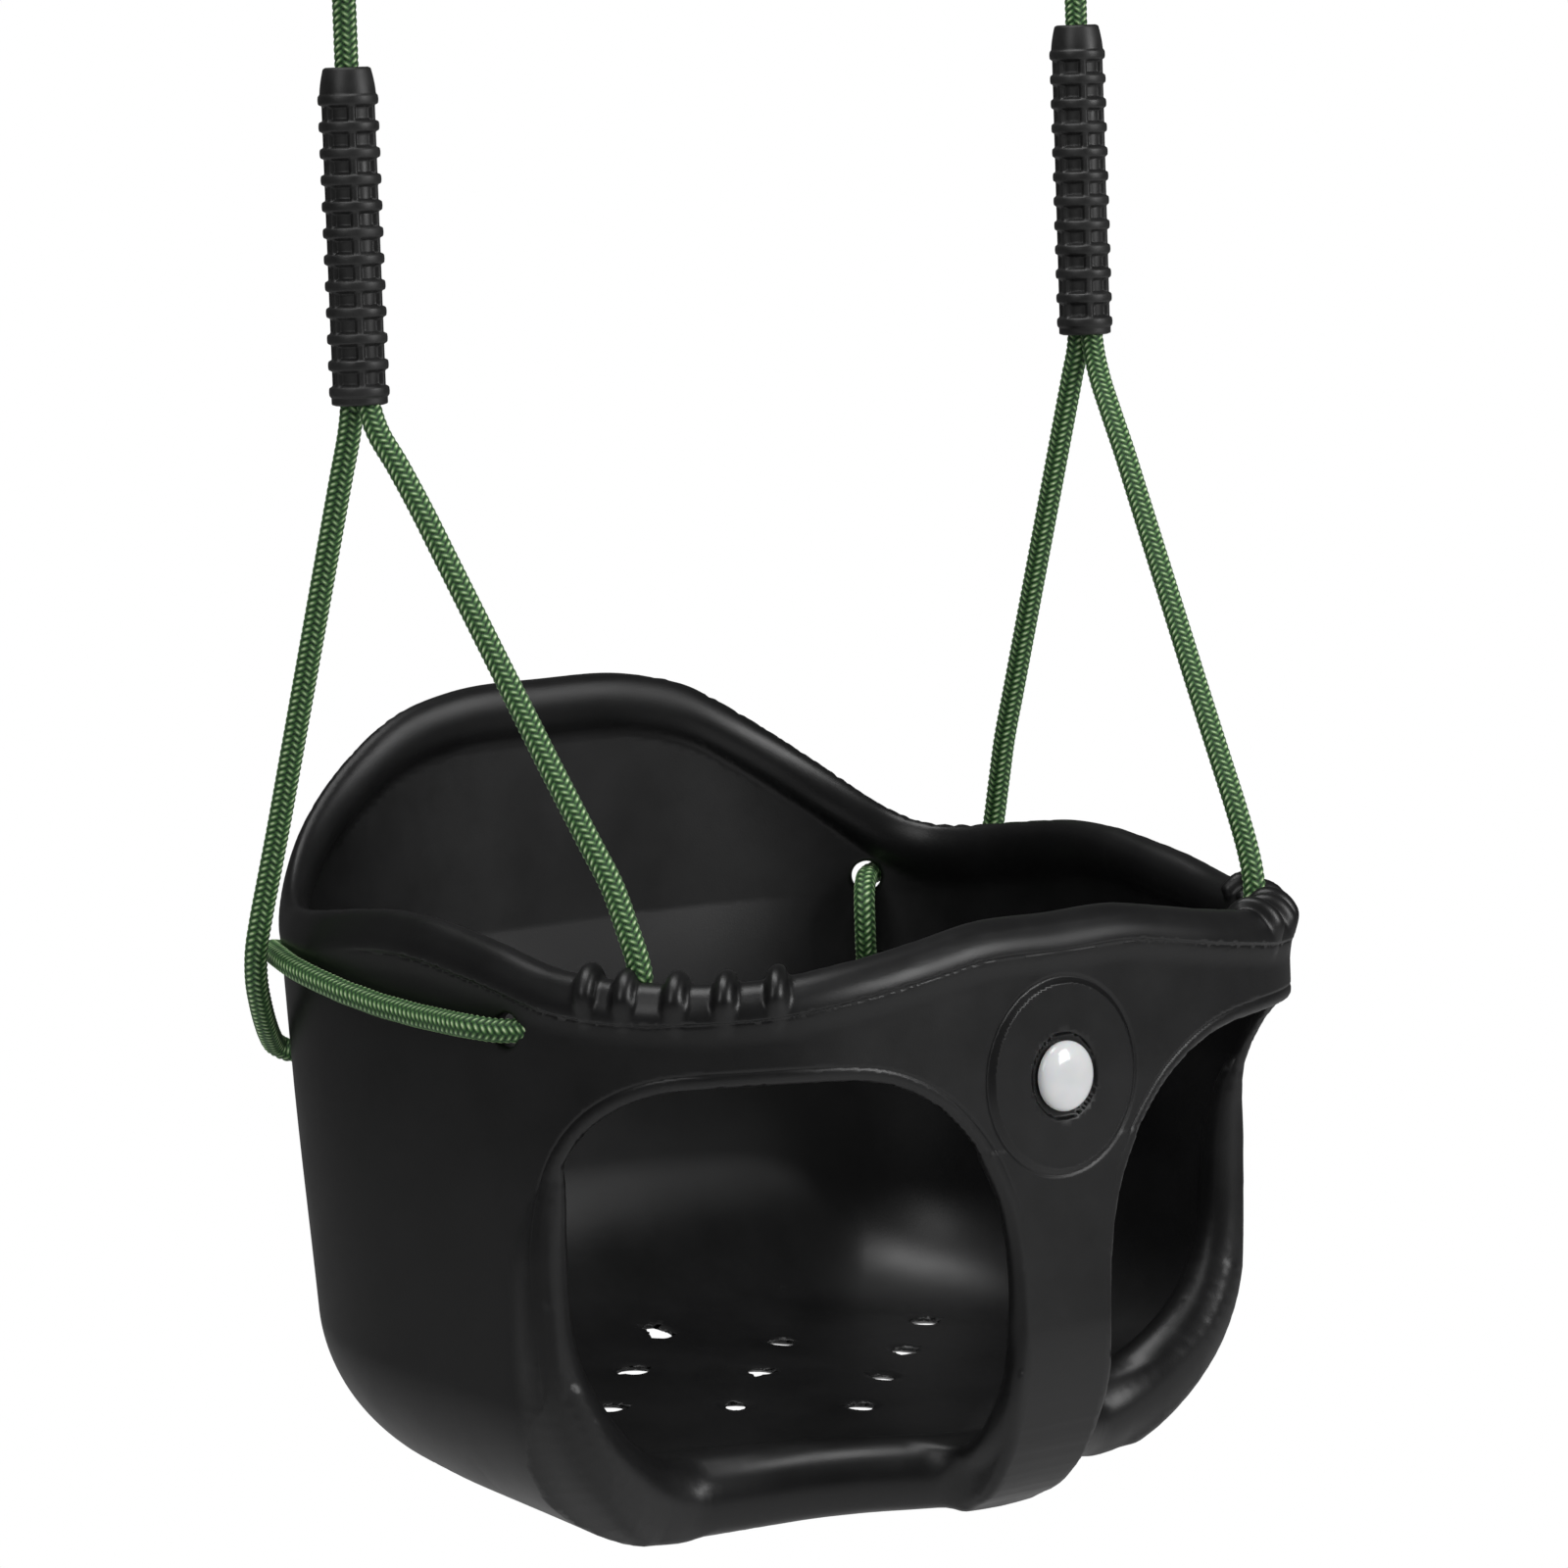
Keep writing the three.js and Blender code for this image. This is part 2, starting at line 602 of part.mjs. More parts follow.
// ---------------------------------------------------------------- grips
function grip() {
  const pitch = (GRIP_LENGTH - 15) / (GRIP_RINGS - 1);
  const outline = [[0, 0], [7.9, 0], [9.3, 1.6]];
  for (let ring = 0; ring < GRIP_RINGS; ring += 1) {
    const middle = 4.5 + ring * pitch;
    outline.push([GRIP_CORE_R, middle - 2.2], [GRIP_RING_R, middle], [GRIP_CORE_R, middle + 2.2]);
  }
  outline.push([GRIP_MOUTH_R + 0.6, GRIP_LENGTH - 3.5], [GRIP_MOUTH_R, GRIP_LENGTH], [0, GRIP_LENGTH]);
  const body = lathe(outline, 12);
  body.rotateX(Math.PI / 2);
  let solid = toSolid(body);
  const bore = cylinderBetween(vec(0, 0, 30), vec(0, 0, GRIP_LENGTH + 2), ROPE_R + GAP + 0.25, 16);
  solid = solid.subtract(toSolid(bore));
  return solid;
}

// Two half circles joined by straights: round two strands lying side by side.
function oval(shape, from, to, r) {
  shape.absarc(to, 0, r, -Math.PI / 2, Math.PI / 2, false);
  shape.absarc(from, 0, r, Math.PI / 2, (3 * Math.PI) / 2, false);
  shape.closePath();
  return shape;
}

// The slot that holds two strands side by side in the lower part of the grip.
function strandSlot() {
  const shape = oval(new THREE.Shape(), -STRAND_Y, STRAND_Y, ROPE_R + GAP);
  const slot = new THREE.ExtrudeGeometry(shape, { depth: 82, bevelEnabled: false, curveSegments: 8 });
  slot.rotateZ(Math.PI / 2);
  slot.translate(0, 0, -2);
  return slot;
}

// ---------------------------------------------------------------- ropes
// Each rope is one length. It is three solids here: the stretch from its crimped end round the quick
// link and down through the grip, the stretch under the grip that threads the seat, and the far end,
// which goes back up into the grip. Points are for the right side.
const UPPER_ROUTE = [
  [0, -TAIL_Y, 492.5], [0, -TAIL_Y, 505], [0, -TAIL_Y, 517], [0, -8.5, 526], [0, -BIGHT_R, BIGHT_Z],
  [0, -BIGHT_R * Math.cos(0.75), BIGHT_Z + BIGHT_R * Math.sin(0.75)],
  [0, 0, BIGHT_Z + BIGHT_R],
  [0, BIGHT_R * Math.cos(0.75), BIGHT_Z + BIGHT_R * Math.sin(0.75)],
  [0, BIGHT_R, BIGHT_Z], [0, 6.3, 527], [0, 1.4, 521], [0, 0, 517.5], [0, 0, 490],
  [0, 0, 442], [0, -0.4, 436], [0, -STRAND_Y + 0.4, 418], [0, -STRAND_Y, 412], [0, -STRAND_Y, UPPER_END_Z],
];
const END_ROUTE = [[0, STRAND_Y, 412], [0, STRAND_Y, UPPER_END_Z]];
const LOWER_ROUTE = [
  [159.7, -6.5, LOWER_START_Z], [157.5, -13.8, 340.6], [155.3, -22.7, 326.4], [143.6, -69.4, 245.3],
  [137.8, -92.2, 206.9], [137, -98.3, 193.2], [136.2, -101.6, 184], [135.8, -102.6, 177],
  [136.3, -100.5, 169.5], [139.3, -93, 165], [143.6, -84, 163.4], [148, -74.5, 161.8],
  [152.7, -66, 160.6], [158.4, -57.5, 160.2], [162, -49, 161], [162.6, -40, 161.4],
  [162.6, -20, 162.4], [162.5, 0, 164.1], [162.2, 20, 166.8], [160.7, 38, 169.6], [158, 54, 172],
  [153.6, 67, 173.6], [147.8, 79, 174], [140.4, 89.5, 172.8], [133, 94, 171.4], [125, 88.5, 169.6],
  [119.8, 83.5, 163.5], [118.4, 82, 154], [120, 83.8, 145], [125, 88.8, 138.4],
  [131, 94.2, 137.2], [137, 94.6, 140], [142.8, 89.6, 144], [149.2, 83, 149.4], [156, 76, 157.4],
  [161.6, 70, 167], [164.2, 65.8, 177], [164.4, 62.3, 187.6], [162.4, 52.3, 220.7],
  [159.8, 8, LOWER_START_Z],
];
const LONG_SPAN = 18;

// Moves a route to one side, with extra points along its long spans so that they stay straight.
function route(points, side, shiftX, shiftY) {
  const placed = points.map(([x, y, z]) => vec(side * (x + shiftX), y + shiftY, z));
  const filled = [placed[0]];
  placed.slice(1).forEach((point, i) => {
    const from = placed[i];
    const pieces = Math.ceil(from.distanceTo(point) / LONG_SPAN);
    for (let k = 1; k <= pieces; k += 1) filled.push(from.clone().lerp(point, k / pieces));
  });
  return filled;
}

// ---------------------------------------------------------------- ferrule and quick link
function ferrule() {
  const shape = oval(new THREE.Shape(), -TAIL_Y, 0, ROPE_R + 1.9);
  shape.holes.push(oval(new THREE.Path(), -TAIL_Y, 0, ROPE_R + GAP));
  const depth = FERRULE_Z[1] - FERRULE_Z[0];
  const geometry = new THREE.ExtrudeGeometry(shape, { depth, bevelEnabled: false, curveSegments: 10 });
  geometry.rotateZ(Math.PI / 2);
  return geometry;
}

function linkPath() {
  const bow = (LINK_WIDTH - 2 * LINK_WIRE_R) / 2;
  const half = LINK_HEIGHT / 2 - LINK_WIRE_R - bow;
  const gapTop = NUT_TOP - 7;
  const gapBottom = gapTop - 12;
  const points = [vec(bow, 0, gapTop)];
  const arc = (centreZ, from, to) => {
    for (let i = 0; i <= 12; i += 1) {
      const angle = from + ((to - from) * i) / 12;
      points.push(vec(bow * Math.cos(angle), 0, centreZ + bow * Math.sin(angle)));
    }
  };
  arc(half, 0, Math.PI);
  points.push(vec(-bow, 0, 0));
  arc(-half, Math.PI, 2 * Math.PI);
  points.push(vec(bow, 0, gapBottom));
  return { points, bow };
}

function linkBody() {
  const { points, bow } = linkPath();
  let body = toSolid(tube(points, LINK_WIRE_R, 10, 52));
  const collar = cylinderBetween(
    vec(bow, 0, NUT_TOP + GAP),
    vec(bow, 0, NUT_TOP + GAP + COLLAR_THICK),
    COLLAR_R,
    20,
  );
  body = body.add(toSolid(collar));
  return toGeometry(body);
}

function linkNut() {
  const apothem = NUT_FLATS / 2;
  const corner = apothem / Math.cos(Math.PI / 6);
  const shape = new THREE.Shape();
  for (let i = 0; i < 6; i += 1) {
    const angle = (i * Math.PI) / 3;
    const x = corner * Math.cos(angle);
    const y = corner * Math.sin(angle);
    if (i === 0) shape.moveTo(x, y);
    else shape.lineTo(x, y);
  }
  shape.closePath();
  const bore = new THREE.Path();
  bore.absarc(0, 0, NUT_BORE_R, 0, 2 * Math.PI, true);
  shape.holes.push(bore);
  return new THREE.ExtrudeGeometry(shape, { depth: NUT_LENGTH, bevelEnabled: false, curveSegments: 10 });
}

// ---------------------------------------------------------------- assembly
add('seat_shell', 'seat', seatShell());

const recessFloorY = SEAT_FRONT_Y - BOSS_PROUD + 1.5;
const button = add('front_button', 'button', frontButton());
button.position.set(0, recessFloorY, BOSS_Z);
const retainer = add('button_retainer', 'seat', buttonRetainer());
retainer.position.set(0, SEAT_FRONT_Y + WALL + GAP, BOSS_Z);

const gripSolid = grip().subtract(toSolid(strandSlot()));
const SIDES = [['left', -1], ['right', 1]];
SIDES.forEach(([name, side]) => {
  const handle = add(`grip_${name}`, 'grip', toGeometry(gripSolid));
  handle.position.set(side * GRIP_X, HANG_Y, GRIP_BOTTOM[name]);

  add(`rope_${name}_upper`, 'rope', tube(route(UPPER_ROUTE, side, GRIP_X, HANG_Y), ROPE_R, 8, 48));
  add(`rope_${name}_seat`, 'rope', tube(route(LOWER_ROUTE, side, 0, 0), ROPE_R, 8, 80));
  add(`rope_${name}_end`, 'rope', tube(route(END_ROUTE, side, GRIP_X, HANG_Y), ROPE_R, 8, 3));

  const crimp = add(`ferrule_${name}`, 'ferrule', ferrule());
  crimp.position.set(side * GRIP_X, HANG_Y, FERRULE_Z[0]);

  const linkMiddle = BIGHT_Z - LINK_WIRE_R + LINK_HEIGHT / 2;
  const body = add(`link_body_${name}`, 'link', linkBody());
  body.position.set(side * GRIP_X, HANG_Y, linkMiddle);
  const nut = add(`link_nut_${name}`, 'link', linkNut());
  nut.position.set(side * GRIP_X + linkPath().bow, HANG_Y, linkMiddle + NUT_TOP - NUT_LENGTH);
});

export default swing;
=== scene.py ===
"""Toddler bucket swing: a moulded bucket seat on two braided ropes, with hand grips and quick links.

Shapes are worked out in the seat's own millimetre frame (x, y, z up, as the CAD source does) and are
moved to the row frame, in metres, by to_row().
"""

import math
from types import SimpleNamespace

import bmesh
import bpy
import numpy as np
from mathutils import Matrix, Vector


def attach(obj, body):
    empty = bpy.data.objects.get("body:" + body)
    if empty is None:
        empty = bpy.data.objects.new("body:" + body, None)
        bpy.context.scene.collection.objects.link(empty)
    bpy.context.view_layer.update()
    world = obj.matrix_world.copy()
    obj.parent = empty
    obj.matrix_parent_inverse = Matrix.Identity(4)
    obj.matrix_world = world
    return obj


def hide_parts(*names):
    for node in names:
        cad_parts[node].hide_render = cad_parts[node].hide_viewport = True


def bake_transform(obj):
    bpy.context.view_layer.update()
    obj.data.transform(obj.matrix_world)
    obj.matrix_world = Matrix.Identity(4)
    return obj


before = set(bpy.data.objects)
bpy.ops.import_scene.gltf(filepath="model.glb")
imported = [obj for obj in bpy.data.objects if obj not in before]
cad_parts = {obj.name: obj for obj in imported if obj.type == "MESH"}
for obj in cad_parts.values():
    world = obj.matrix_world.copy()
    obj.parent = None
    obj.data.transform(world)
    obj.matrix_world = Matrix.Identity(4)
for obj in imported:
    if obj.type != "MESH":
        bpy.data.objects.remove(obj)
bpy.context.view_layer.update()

# ---- shared dimensions, mm
HANG_Y = 1.2
HANG_Z = 596.0
ROPE_R = 3.75
GRIP_X = 160.4
GRIP_BOTTOM = {"left": 360.0, "right": 367.0}
GRIP_LENGTH = 109.0
STRAND_Y = 3.8
SIDES = {"left": -1, "right": 1}


def to_row(points):
    """Seat-frame millimetres to row-frame metres."""
    return (np.asarray(points, float) - [0.0, HANG_Y, HANG_Z]) / 1000.0


# ---- camera
CAMERA_AZIMUTH = -40.18
CAMERA_ELEVATION = 5.93
CAMERA_ROLL = -1.91
CAMERA_DISTANCE = 2.31567
CAMERA_TARGET = Vector((0.00337, -0.01255, -0.3739))
CAMERA_LENS = 156.31


def make_camera():
    a, e, r = (math.radians(v) for v in (CAMERA_AZIMUTH, CAMERA_ELEVATION, CAMERA_ROLL))
    back = Vector((math.sin(a) * math.cos(e), -math.cos(a) * math.cos(e), math.sin(e)))
    right = Vector((math.cos(a), math.sin(a), 0.0))
    up = back.cross(right)
    right, up = right * math.cos(r) + up * math.sin(r), up * math.cos(r) - right * math.sin(r)
    data = bpy.data.cameras.new("camera")
    data.sensor_width = 36.0
    data.lens = CAMERA_LENS
    data.clip_end = 50.0
    camera = bpy.data.objects.new("camera", data)
    bpy.context.collection.objects.link(camera)
    turn = Matrix((right, up, back)).transposed().to_4x4()
    camera.matrix_world = Matrix.Translation(CAMERA_TARGET + back * CAMERA_DISTANCE) @ turn
    bpy.context.scene.camera = camera


make_camera()


# ---- mesh helpers
def inside_out(verts, faces):
    """True where a closed mesh's faces look inwards."""
    first = np.array([verts[f[0]] for f in faces])
    total = 0.0
    for k in (1, 2):
        have = [i for i, f in enumerate(faces) if len(f) > k + 1]
        b = np.array([verts[faces[i][k]] for i in have])
        c = np.array([verts[faces[i][k + 1]] for i in have])
        total += np.einsum("ij,ij->", first[have], np.cross(b, c))
    return total < 0


def new_piece(name, verts, faces, material, body, smooth_angle=None, normals=None):
    """A mesh object from seat-frame points; it rides on body unless that is None."""
    mesh = bpy.data.meshes.new(name)
    faces = [list(map(int, f)) for f in faces]
    if inside_out(verts, faces):
        faces = [f[::-1] for f in faces]
    mesh.from_pydata(to_row(verts).tolist(), [], faces)
    mesh.update()
    mesh.shade_smooth()
    if smooth_angle is not None:
        mesh.set_sharp_from_angle(angle=math.radians(smooth_angle))
    if normals is not None:
        mesh.normals_split_custom_set_from_vertices(normals.tolist())
    mesh.materials.append(material)
    piece = bpy.data.objects.new(name, mesh)
    bpy.context.collection.objects.link(piece)
    if body:
        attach(piece, body)
    return piece


def set_point_value(piece, name, values):
    layer = piece.data.attributes.new(name, "FLOAT", "POINT")
    layer.data.foreach_set("value", np.asarray(values, np.float32))


def grid_faces(rows, columns, close_rows=False):
    """Quads of a grid of rings: each row is a closed ring of columns points."""
    faces = []
    for r in range(rows if close_rows else rows - 1):
        n = (r + 1) % rows
        for c in range(columns):
            d = (c + 1) % columns
            faces.append((r * columns + c, r * columns + d, n * columns + d, n * columns + c))
    return faces


def ring_skin(rings, closed=False):
    """Points and faces over rings of equal size; open ends are capped with a fan."""
    rings = [np.asarray(ring, float) for ring in rings]
    columns = len(rings[0])
    verts = np.concatenate(rings)
    faces = grid_faces(len(rings), columns, closed)
    if not closed:
        first, last = len(verts), len(verts) + 1
        verts = np.concatenate([verts, [rings[0].mean(0)], [rings[-1].mean(0)]])
        base = (len(rings) - 1) * columns
        for c in range(columns):
            d = (c + 1) % columns
            faces.append((first, d, c))
            faces.append((last, base + c, base + d))
    return verts, faces


def circle(sides):
    """Angles round the Z axis, and the unit directions at them."""
    theta = np.arange(sides) / sides * 2 * math.pi
    return theta, np.stack([np.cos(theta), np.sin(theta), np.zeros(sides)], 1)


def catmull(points, step):
    """A centripetal Catmull-Rom line through points, with a point about every step."""
    p = np.asarray(points, float)
    p = np.concatenate([[2 * p[0] - p[1]], p, [2 * p[-1] - p[-2]]])
    out = []
    for i in range(1, len(p) - 2):
        p0, p1, p2, p3 = p[i - 1:i + 3]
        spans = ((p0, p1), (p1, p2), (p2, p3))
        d0, d1, d2 = (max(1e-4, np.linalg.norm(b - a)) ** 0.5 for a, b in spans)
        t1 = ((p1 - p0) / d0 - (p2 - p0) / (d0 + d1) + (p2 - p1) / d1) * d1
        t2 = ((p2 - p1) / d1 - (p3 - p1) / (d1 + d2) + (p3 - p2) / d2) * d1
        n = max(2, int(math.ceil(np.linalg.norm(p2 - p1) / step)))
        s = (np.arange(n) / n)[:, None]
        c2 = 3 * (p2 - p1) - 2 * t1 - t2
        c3 = 2 * (p1 - p2) + t1 + t2
        out.append(p1 + t1 * s + c2 * s ** 2 + c3 * s ** 3)
    out.append(p[-2:-1])
    return np.concatenate(out)


def even(points, step):
    """The same line with evenly spaced points."""
    lengths = np.linalg.norm(np.diff(points, axis=0), axis=1)
    along = np.concatenate([[0], np.cumsum(lengths)])
    count = int(round(along[-1] / step)) + 1
    places = np.linspace(0, along[-1], count)
    return np.stack([np.interp(places, along, points[:, k]) for k in range(3)], 1), places


def frames_along(line, first=(1.0, 0.0, 0.0)):
    """Two directions across a line at each point, carried along it without twist."""
    tangent = np.gradient(line, axis=0)
    tangent /= np.linalg.norm(tangent, axis=1)[:, None]
    across = np.zeros_like(line)
    a = np.asarray(first, float)
    for i, t in enumerate(tangent):
        a = a - t * a.dot(t)
        a /= np.linalg.norm(a)
        across[i] = a
    return across, np.cross(tangent, across)


# ---- materials
class Look:
    """A procedural material: one Principled shader, and the nodes that vary it over the surface."""

    def __init__(self, name, color, roughness, **sockets):
        self.material = bpy.data.materials.new(name)
        self.material.use_nodes = True
        self.nodes = self.material.node_tree.nodes
        self.link = self.material.node_tree.links.new
        self.shader = self.nodes["Principled BSDF"]
        self.shader.inputs["Base Color"].default_value = (*color, 1.0)
        self.shader.inputs["Roughness"].default_value = roughness
        for key, value in sockets.items():
            self.shader.inputs[key.replace("_", " ")].default_value = value

    def noise(self, scale, detail=3.0, roughness=0.5):
        place = self.nodes.new("ShaderNodeTexCoord")
        node = self.nodes.new("ShaderNodeTexNoise")
        node.inputs["Scale"].default_value = scale
        node.inputs["Detail"].default_value = detail
        node.inputs["Roughness"].default_value = roughness
        self.link(place.outputs["Object"], node.inputs["Vector"])
        return node.outputs["Fac"]

    def attribute(self, name):
        node = self.nodes.new("ShaderNodeAttribute")
        node.attribute_name = name
        return node.outputs["Fac"]

    def ramp(self, source, *stops):
        """A colour ramp; a stop's colour is a grey number or a triple."""
        node = self.nodes.new("ShaderNodeValToRGB")
        elements = node.color_ramp.elements
        while len(elements) < len(stops):
            elements.new(0.5)
        for element, (place, color) in zip(elements, stops):
            element.position = place
            value = (color,) * 3 if isinstance(color, (int, float)) else color
            element.color = (*value, 1.0)
        self.link(source, node.inputs["Fac"])
        return node.outputs["Color"]

    def mix(self, factor, a, b, blend="MIX"):
        """Two colours mixed by a number or by a node's output."""
        node = self.nodes.new("ShaderNodeMix")
        node.data_type = "RGBA"
        node.blend_type = blend
        if isinstance(factor, float):
            node.inputs["Factor"].default_value = factor
        else:
            self.link(factor, node.inputs["Factor"])
        self.link(a, node.inputs["A"])
        self.link(b, node.inputs["B"])
        return node.outputs["Result"]

    def color(self, output):
        self.link(output, self.shader.inputs["Base Color"])

    def gloss(self, source, to_low, to_high, low=0.3, high=0.7):
        """Roughness from to_low to to_high as the source goes from low to high."""
        node = self.nodes.new("ShaderNodeMapRange")
        for key, value in zip(("From Min", "From Max", "To Min", "To Max"), (low, high, to_low, to_high)):
            node.inputs[key].default_value = value
        self.link(source, node.inputs["Value"])
        self.link(node.outputs["Result"], self.shader.inputs["Roughness"])

    def bump(self, height, distance, strength):
        node = self.nodes.new("ShaderNodeBump")
        node.inputs["Distance"].default_value = distance
        node.inputs["Strength"].default_value = strength
        self.link(height, node.inputs["Height"])
        self.link(node.outputs["Normal"], self.shader.inputs["Normal"])


def moulded_plastic():
    """Satin black moulding: a faint mottle in colour and gloss, and a fine grain."""
    color = (0.006, 0.006, 0.0063)
    look = Look("seat_plastic", color, 0.4, Specular_IOR_Level=0.4)
    mottle = look.noise(26.0, 5.0, 0.62)
    dark, light = (tuple(c * share for c in color) for share in (0.72, 1.35))
    look.color(look.ramp(mottle, (0.3, dark), (0.72, light)))
    look.gloss(mottle, 0.33, 0.43)
    look.bump(look.noise(1500.0, 2.0, 0.6), 0.00006, 0.5)
    return look.material


def rubber():
    look = Look("grip_rubber", (0.012, 0.012, 0.0125), 0.46)
    soft = look.noise(120.0)
    look.color(look.ramp(soft, (0.3, 0.009), (0.7, 0.017)))
    look.gloss(soft, 0.4, 0.54)
    look.bump(look.noise(2200.0, 2.0), 0.00008, 0.5)
    return look.material


def braid_material():
    """Green yarn with light and shade painted in: painted shade, near black, in the gaps of the braid, a
    painted highlight, pale, on the crown of each stitch, and the strands of one lay painted lighter than
    the other's, as lit and shaded copies of one yarn.
    """
    look = Look("rope_braid", (0.1, 0.3, 0.08), 0.62, Sheen_Weight=0.35, Sheen_Roughness=0.4,
                Sheen_Tint=(0.75, 0.95, 0.7, 1.0))
    crown = look.attribute("crown")
    # painted shade: the near-black colour at the low end of each ramp, for the braid's gaps
    gap = (0.002, 0.014, 0.004)
    # painted light: under is a lit copy and over a shaded copy of one yarn colour; each ramp ends in a
    # painted highlight on the stitch's crown
    under = [gap, (0.022, 0.1, 0.018), (0.13, 0.3, 0.085), (0.8, 0.95, 0.6)]
    over = [gap, (0.018, 0.08, 0.016), (0.1, 0.24, 0.065), (0.62, 0.8, 0.46)]
    lit_and_shaded_yarn = [look.ramp(crown, *zip((0.35, 0.66, 0.87, 1.0), colors)) for colors in (under, over)]
    fibre = look.noise(2600.0, 3.0, 0.7)
    tint = look.ramp(fibre, (0.3, 0.62), (0.7, 1.25))
    # the lay attribute picks the lit or the shaded copy for each stitch
    look.color(look.mix(0.6, look.mix(look.attribute("lay"), *lit_and_shaded_yarn), tint, "MULTIPLY"))
    look.gloss(crown, 0.8, 0.5, 0.0, 1.0)
    look.bump(fibre, 0.0001, 0.6)
    return look.material


def gloss_paint():
    look = Look("link_paint", (0.004, 0.004, 0.004), 0.1, Coat_Weight=0.6, Coat_Roughness=0.05)
    peel = look.noise(180.0, 2.0)
    look.color(look.ramp(peel, (0.3, 0.003), (0.7, 0.006)))
    look.gloss(peel, 0.08, 0.16)
    look.bump(peel, 0.0002, 0.12)
    return look.material


def bright_thread():
    look = Look("link_thread", (0.72, 0.74, 0.76), 0.25, Metallic=1.0)
    wear = look.noise(900.0, 4.0)
    look.color(look.ramp(wear, (0.3, 0.5), (0.7, 0.85)))
    look.gloss(wear, 0.18, 0.38)
    return look.material


def white_gloss():
    look = Look("button_white", (0.86, 0.87, 0.88), 0.16, Coat_Weight=0.4, Subsurface_Weight=0.15,
                Subsurface_Scale=0.004)
    haze = look.noise(90.0, 2.0)
    look.color(look.ramp(haze, (0.3, (0.82, 0.84, 0.86)), (0.7, (0.9, 0.905, 0.91))))
    look.gloss(haze, 0.12, 0.2)
    return look.material


def crimp_metal():
    look = Look("crimp_sleeve", (0.03, 0.03, 0.032), 0.4, Metallic=0.8)
    wear = look.noise(300.0, 4.0, 0.6)
    look.color(look.ramp(wear, (0.35, 0.02), (0.7, 0.07)))
    look.gloss(wear, 0.3, 0.5)
    look.bump(wear, 0.0002, 0.3)
    return look.material


SEAT = moulded_plastic()
RUBBER = rubber()
BRAID = braid_material()
PAINT = gloss_paint()
THREAD = bright_thread()
WHITE = white_gloss()
CRIMP = crimp_metal()

# ---- ropes
TAIL_Y = 7.9
BIGHT_Z = 534.0
BIGHT_R = 8.65
LOWER_START_Z = 352.0
BIGHT_TURN = (BIGHT_R * math.cos(0.75), BIGHT_Z + BIGHT_R * math.sin(0.75))
UPPER_ROUTE = [
    (0, -TAIL_Y, 492.5), (0, -TAIL_Y, 505), (0, -TAIL_Y, 517), (0, -8.5, 526), (0, -BIGHT_R, BIGHT_Z),
    (0, -BIGHT_TURN[0], BIGHT_TURN[1]), (0, 0, BIGHT_Z + BIGHT_R), (0, *BIGHT_TURN),
    (0, BIGHT_R, BIGHT_Z), (0, 6.3, 527), (0, 1.4, 521), (0, 0, 517.5), (0, 0, 490),
    (0, 0, 442), (0, -0.4, 436), (0, -STRAND_Y + 0.4, 418), (0, -STRAND_Y, 412), (0, -STRAND_Y, 364),
]
END_ROUTE = [(0, STRAND_Y, 364), (0, STRAND_Y, 412)]
LOWER_ROUTE = [
    (159.7, -6.5, LOWER_START_Z), (157.5, -13.8, 340.6), (155.3, -22.7, 326.4), (143.6, -69.4, 245.3),
    (137.8, -92.2, 206.9), (137, -98.3, 193.2), (136.2, -101.6, 184), (135.8, -102.6, 177),
    (136.3, -100.5, 169.5), (139.3, -93, 165), (143.6, -84, 163.4), (148, -74.5, 161.8),
    (152.7, -66, 160.6), (158.4, -57.5, 160.2), (162, -49, 161), (162.6, -40, 161.4),
    (162.6, -20, 162.4), (162.5, 0, 164.1), (162.2, 20, 166.8), (160.7, 38, 169.6), (158, 54, 172),
    (153.6, 67, 173.6), (147.8, 79, 174), (140.4, 89.5, 172.8), (133, 94, 171.4), (125, 88.5, 169.6),
    (119.8, 83.5, 163.5), (118.4, 82, 154), (120, 83.8, 145), (125, 88.8, 138.4),
    (131, 94.2, 137.2), (137, 94.6, 140), (142.8, 89.6, 144), (149.2, 83, 149.4), (156, 76, 157.4),
    (161.6, 70, 167), (164.2, 65.8, 177), (164.4, 62.3, 187.6), (162.4, 52.3, 220.7),
    (159.8, 8, LOWER_START_Z),
]
LONG_SPAN = 18.0
ROUTE_STEP = 1.5
STRANDS = 8
STITCH = 2.3
BRAID_STEP = 0.46
BRAID_SIDES = 48
BRAID_RELIEF = 0.75
BRAID_LEVEL = 0.72  # the braid's height that lies at the rope's stated radius
STITCH_TAPER = 0.82
ROPE_END_ROUND = 1.5


def filled(points):
    """Extra points along long spans, so that they stay straight."""
    out = [np.array(points[0], float)]
    for a, b in zip(points[:-1], points[1:]):
        a, b = np.array(a, float), np.array(b, float)
        n = max(1, math.ceil(np.linalg.norm(b - a) / LONG_SPAN))
        out += [a + (b - a) * k / n for k in range(1, n + 1)]
    return np.array(out)


def rope_line(sign):
    """The rope's centre line, and the distance along it."""
    inside = np.array([GRIP_X, HANG_Y, 0.0])
    route = np.concatenate([
        filled(np.array(UPPER_ROUTE) + inside),
        filled(LOWER_ROUTE),
        filled(np.array(END_ROUTE) + inside),
    ])
    line, along = even(catmull(route, ROUTE_STEP), BRAID_STEP)
    return line * [sign, 1, 1], along


